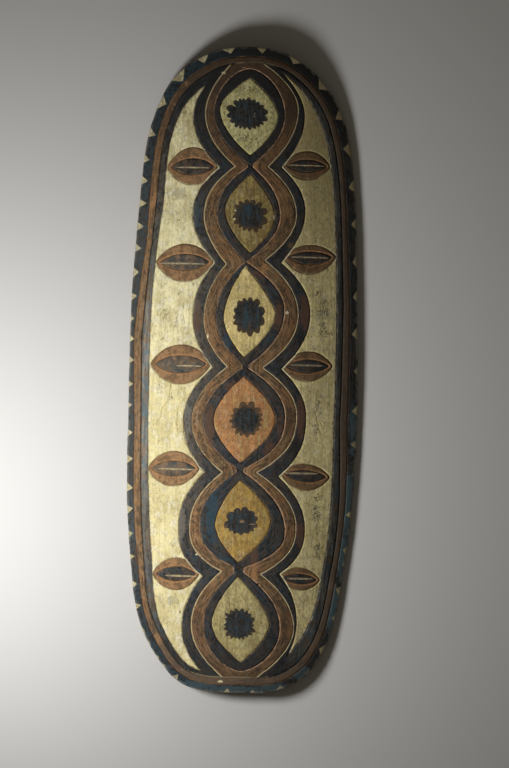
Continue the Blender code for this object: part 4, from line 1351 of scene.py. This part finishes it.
def withRosettes(colour):
    core = earthPaint(n["streak"], earths["core"])
    core = paint.mix(n["speck"].between(0.48, 0.60) * 0.5, core, "slateWarm")
    outer = (m["petalOut"] + (n["mottle"] - 0.5) * 0.6).between(-0.05, 0.15)
    lighter = (m["petalFaint"] * 5).between(0.0, 1.0) * n["mottle"].between(0.42, 0.54)
    petal = paint.mix(outer * 0.85, core, paint.mix(lighter, "petalBrown", "petalLight"))
    petals = inside("rosetteIn", handB, soft=0.8, wobble=0.25)
    return paint.mix(petals * (1 - outer * m["petalFaint"]), colour, petal)


def rimPaint(dark):
    # darker on the left and towards the bottom, and at the top, where the darkening is painted shade
    sootyAndShaded = (across.between(0.10, -0.10) * 0.42) | (along.between(0.46, 0.62) * 0.85)
    rubbed = n["blotTwo"].between(0.50, 0.58) * across.between(0.05, -0.10) * along.between(0.45, 0.20)
    return paint.coats(
        dark,
        (sootyAndShaded | (along.between(-0.56, -0.64) * 0.40), "soot"),
        (rubbed * along.between(-0.56, -0.40) * 0.28, "slateBrown"),
        (n["mottle"].between(0.40, 0.55) * across.between(0.0, -0.1) * 0.45, "slateBlue"),
    )


def withBorder(colour, cream, dark):        # brown band and its lines, rim and teeth
    greyed = (across.between(0.05, 0.20) * 0.6) | (along.between(-0.50, -0.62) * 0.45)
    brown = paint.mix(greyed, brownPaint("border"), "brownGrey")
    # painted shade: a dark line along the groove between the brown and the dark band
    grooveShadeLine = edgeLine("darkIn", handA, half=1.5, soft=1.4, wobble=0.2) * (0.60 + dryBrush * 0.25)
    limeLine = edgeLine("darkIn", handA, half=1.2, shift=0.9, soft=1.8, wobble=0.2) * patchy("lime")
    dulled = 0.32 + n["mottle"].between(0.40, 0.60) * 0.25 + 0.35 * along.between(-0.5, -0.66)
    return paint.coats(
        colour,
        (1 - inside("darkIn", handA), brown),
        (grooveShadeLine, "soot"),
        (limeLine * 0.55, "paleLine"),
        (1 - inside("brownIn", handB, soft=1.8), rimPaint(dark)),
        (edgeLine("brownIn", handB, half=1.0, shift=0.8) * (dryBrush * 0.8), "brownOrange"),
        (inside("toothIn", handA, wobble=0.35), paint.mix(dulled, cream, "dust")),
    )


def withTouches(colour):
    for tint, markAcross, markAlong, wide, tall in touches:
        x, y = place((markAcross, markAlong))
        off = ((across - x) / (wide / 1000)) ** 2 + ((along - y) / (tall / 1000)) ** 2
        spot = (1.0 - off + (n["speck"] - 0.5) * 3.0).between(0.0, 0.6)
        colour = paint.mix(spot * 0.75, colour, tint)
    return colour


def withBareWood(colour):        # paler along the edge, more so on the right: worn paint, and a painted highlight; unpainted on the back and the grip
    worn = (m["rimIn"] * -1 + 4.5 + ragged * 1.5).between(0.0, 3.0) * n["blot"].between(0.38, 0.55)
    bare = paint.coats(
        "wood",
        (n["rings"].between(0.35, 0.65), "woodPale"),
        (n["streak"].between(0.48, 0.70) * 0.75, "woodDark"),
        (n["patch"].between(0.50, 0.75) * 0.5, "woodDark"),
    )
    return paint.coats(
        colour,
        # worn paint along the edge, with a painted highlight that is stronger on the right
        (worn * (0.30 + 0.35 * across.between(-0.1, 0.1)), "edge"),
        ((m["backShare"] + (n["blot"] - 0.5) * 0.35).between(0.33, 0.42), bare),
    )


cream, borderDark = creamField(), darkPaint("border", "borderDark", "rimBlue")
colour = withDarkBand(withEyes(cream), borderDark)
colour = withRosettes(withLenses(withChain(colour)))
colour = withBareWood(withTouches(withBorder(colour, cream, borderDark)))
height = n["streak"] * 0.35 + n["fibre"] * 0.20 + n["mottle"] * 0.3 + n["speck"] * 0.15
bumps = {"Strength": finish["bump"], "Distance": finish["bumpDepth"], "Height": height}
paint.surface({
    "Base Color": colour,
    "Roughness": finish["rough"] + finish["streakRough"] * n["streak"],
    "Normal": paint.node("ShaderNodeBump", None, bumps),
    "Specular IOR Level": finish["specular"],
})
mesh.materials.append(material)
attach(shield, "root")
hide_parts(board["node"])

# The floor, the light and the camera
studio = dict(
    floorColour=(0.68, 0.67, 0.65),
    floorRough=0.9,
    floorSize=60.0,
    keyPlace=(-0.80, -0.38, 0.86),
    keySize=0.45,
    keyPower=13.5,
    worldColour=(1.0, 0.90, 0.74),
    worldStrength=0.07,
)

view = dict(
    lens=300,
    sensor=36,
    seen=1.6657,            # metres of the scene in the picture's height, at the level below
    level=0.042,
    aim=(0.0243, -0.0298),
    turn=1.375,             # the shield hangs a little askew
)


def makeFloor():
    half = studio["floorSize"] / 2
    corners = [(-half, -half, 0), (half, -half, 0), (half, half, 0), (-half, half, 0)]
    data = bpy.data.meshes.new("floor")
    data.from_pydata(corners, [], [(0, 1, 2, 3)])
    floorPaint = bpy.data.materials.new("floor")
    colour = (*studio["floorColour"], 1)
    Graph(floorPaint).surface({"Base Color": colour, "Roughness": studio["floorRough"]})
    data.materials.append(floorPaint)
    newObject("floor", data)


def makeLights():
    light = bpy.data.lights.new("key", "AREA")
    light.shape = "DISK"
    light.size = studio["keySize"]
    light.energy = studio["keyPower"]
    key = newObject("key", light)
    key.location = studio["keyPlace"]
    key.rotation_euler = (-key.location).to_track_quat("-Z", "Y").to_euler()
    world = bpy.data.worlds.new("studio")
    world.use_nodes = True
    sky = world.node_tree.nodes["Background"]
    sky.inputs["Color"].default_value = (*studio["worldColour"], 1)
    sky.inputs["Strength"].default_value = studio["worldStrength"]
    bpy.context.scene.world = world


def makeCamera():
    data = bpy.data.cameras.new("camera")
    data.lens = view["lens"]
    data.sensor_width = view["sensor"]
    camera = newObject("camera", data)
    away = view["seen"] * view["lens"] / view["sensor"]
    camera.location = (*view["aim"], view["level"] + away)
    camera.rotation_euler = (0, 0, math.radians(view["turn"]))
    bpy.context.scene.camera = camera


makeFloor()
makeLights()
makeCamera()
bpy.context.scene.view_settings.view_transform = "Standard"

bpy.context.view_layer.update()
print("shield: done")
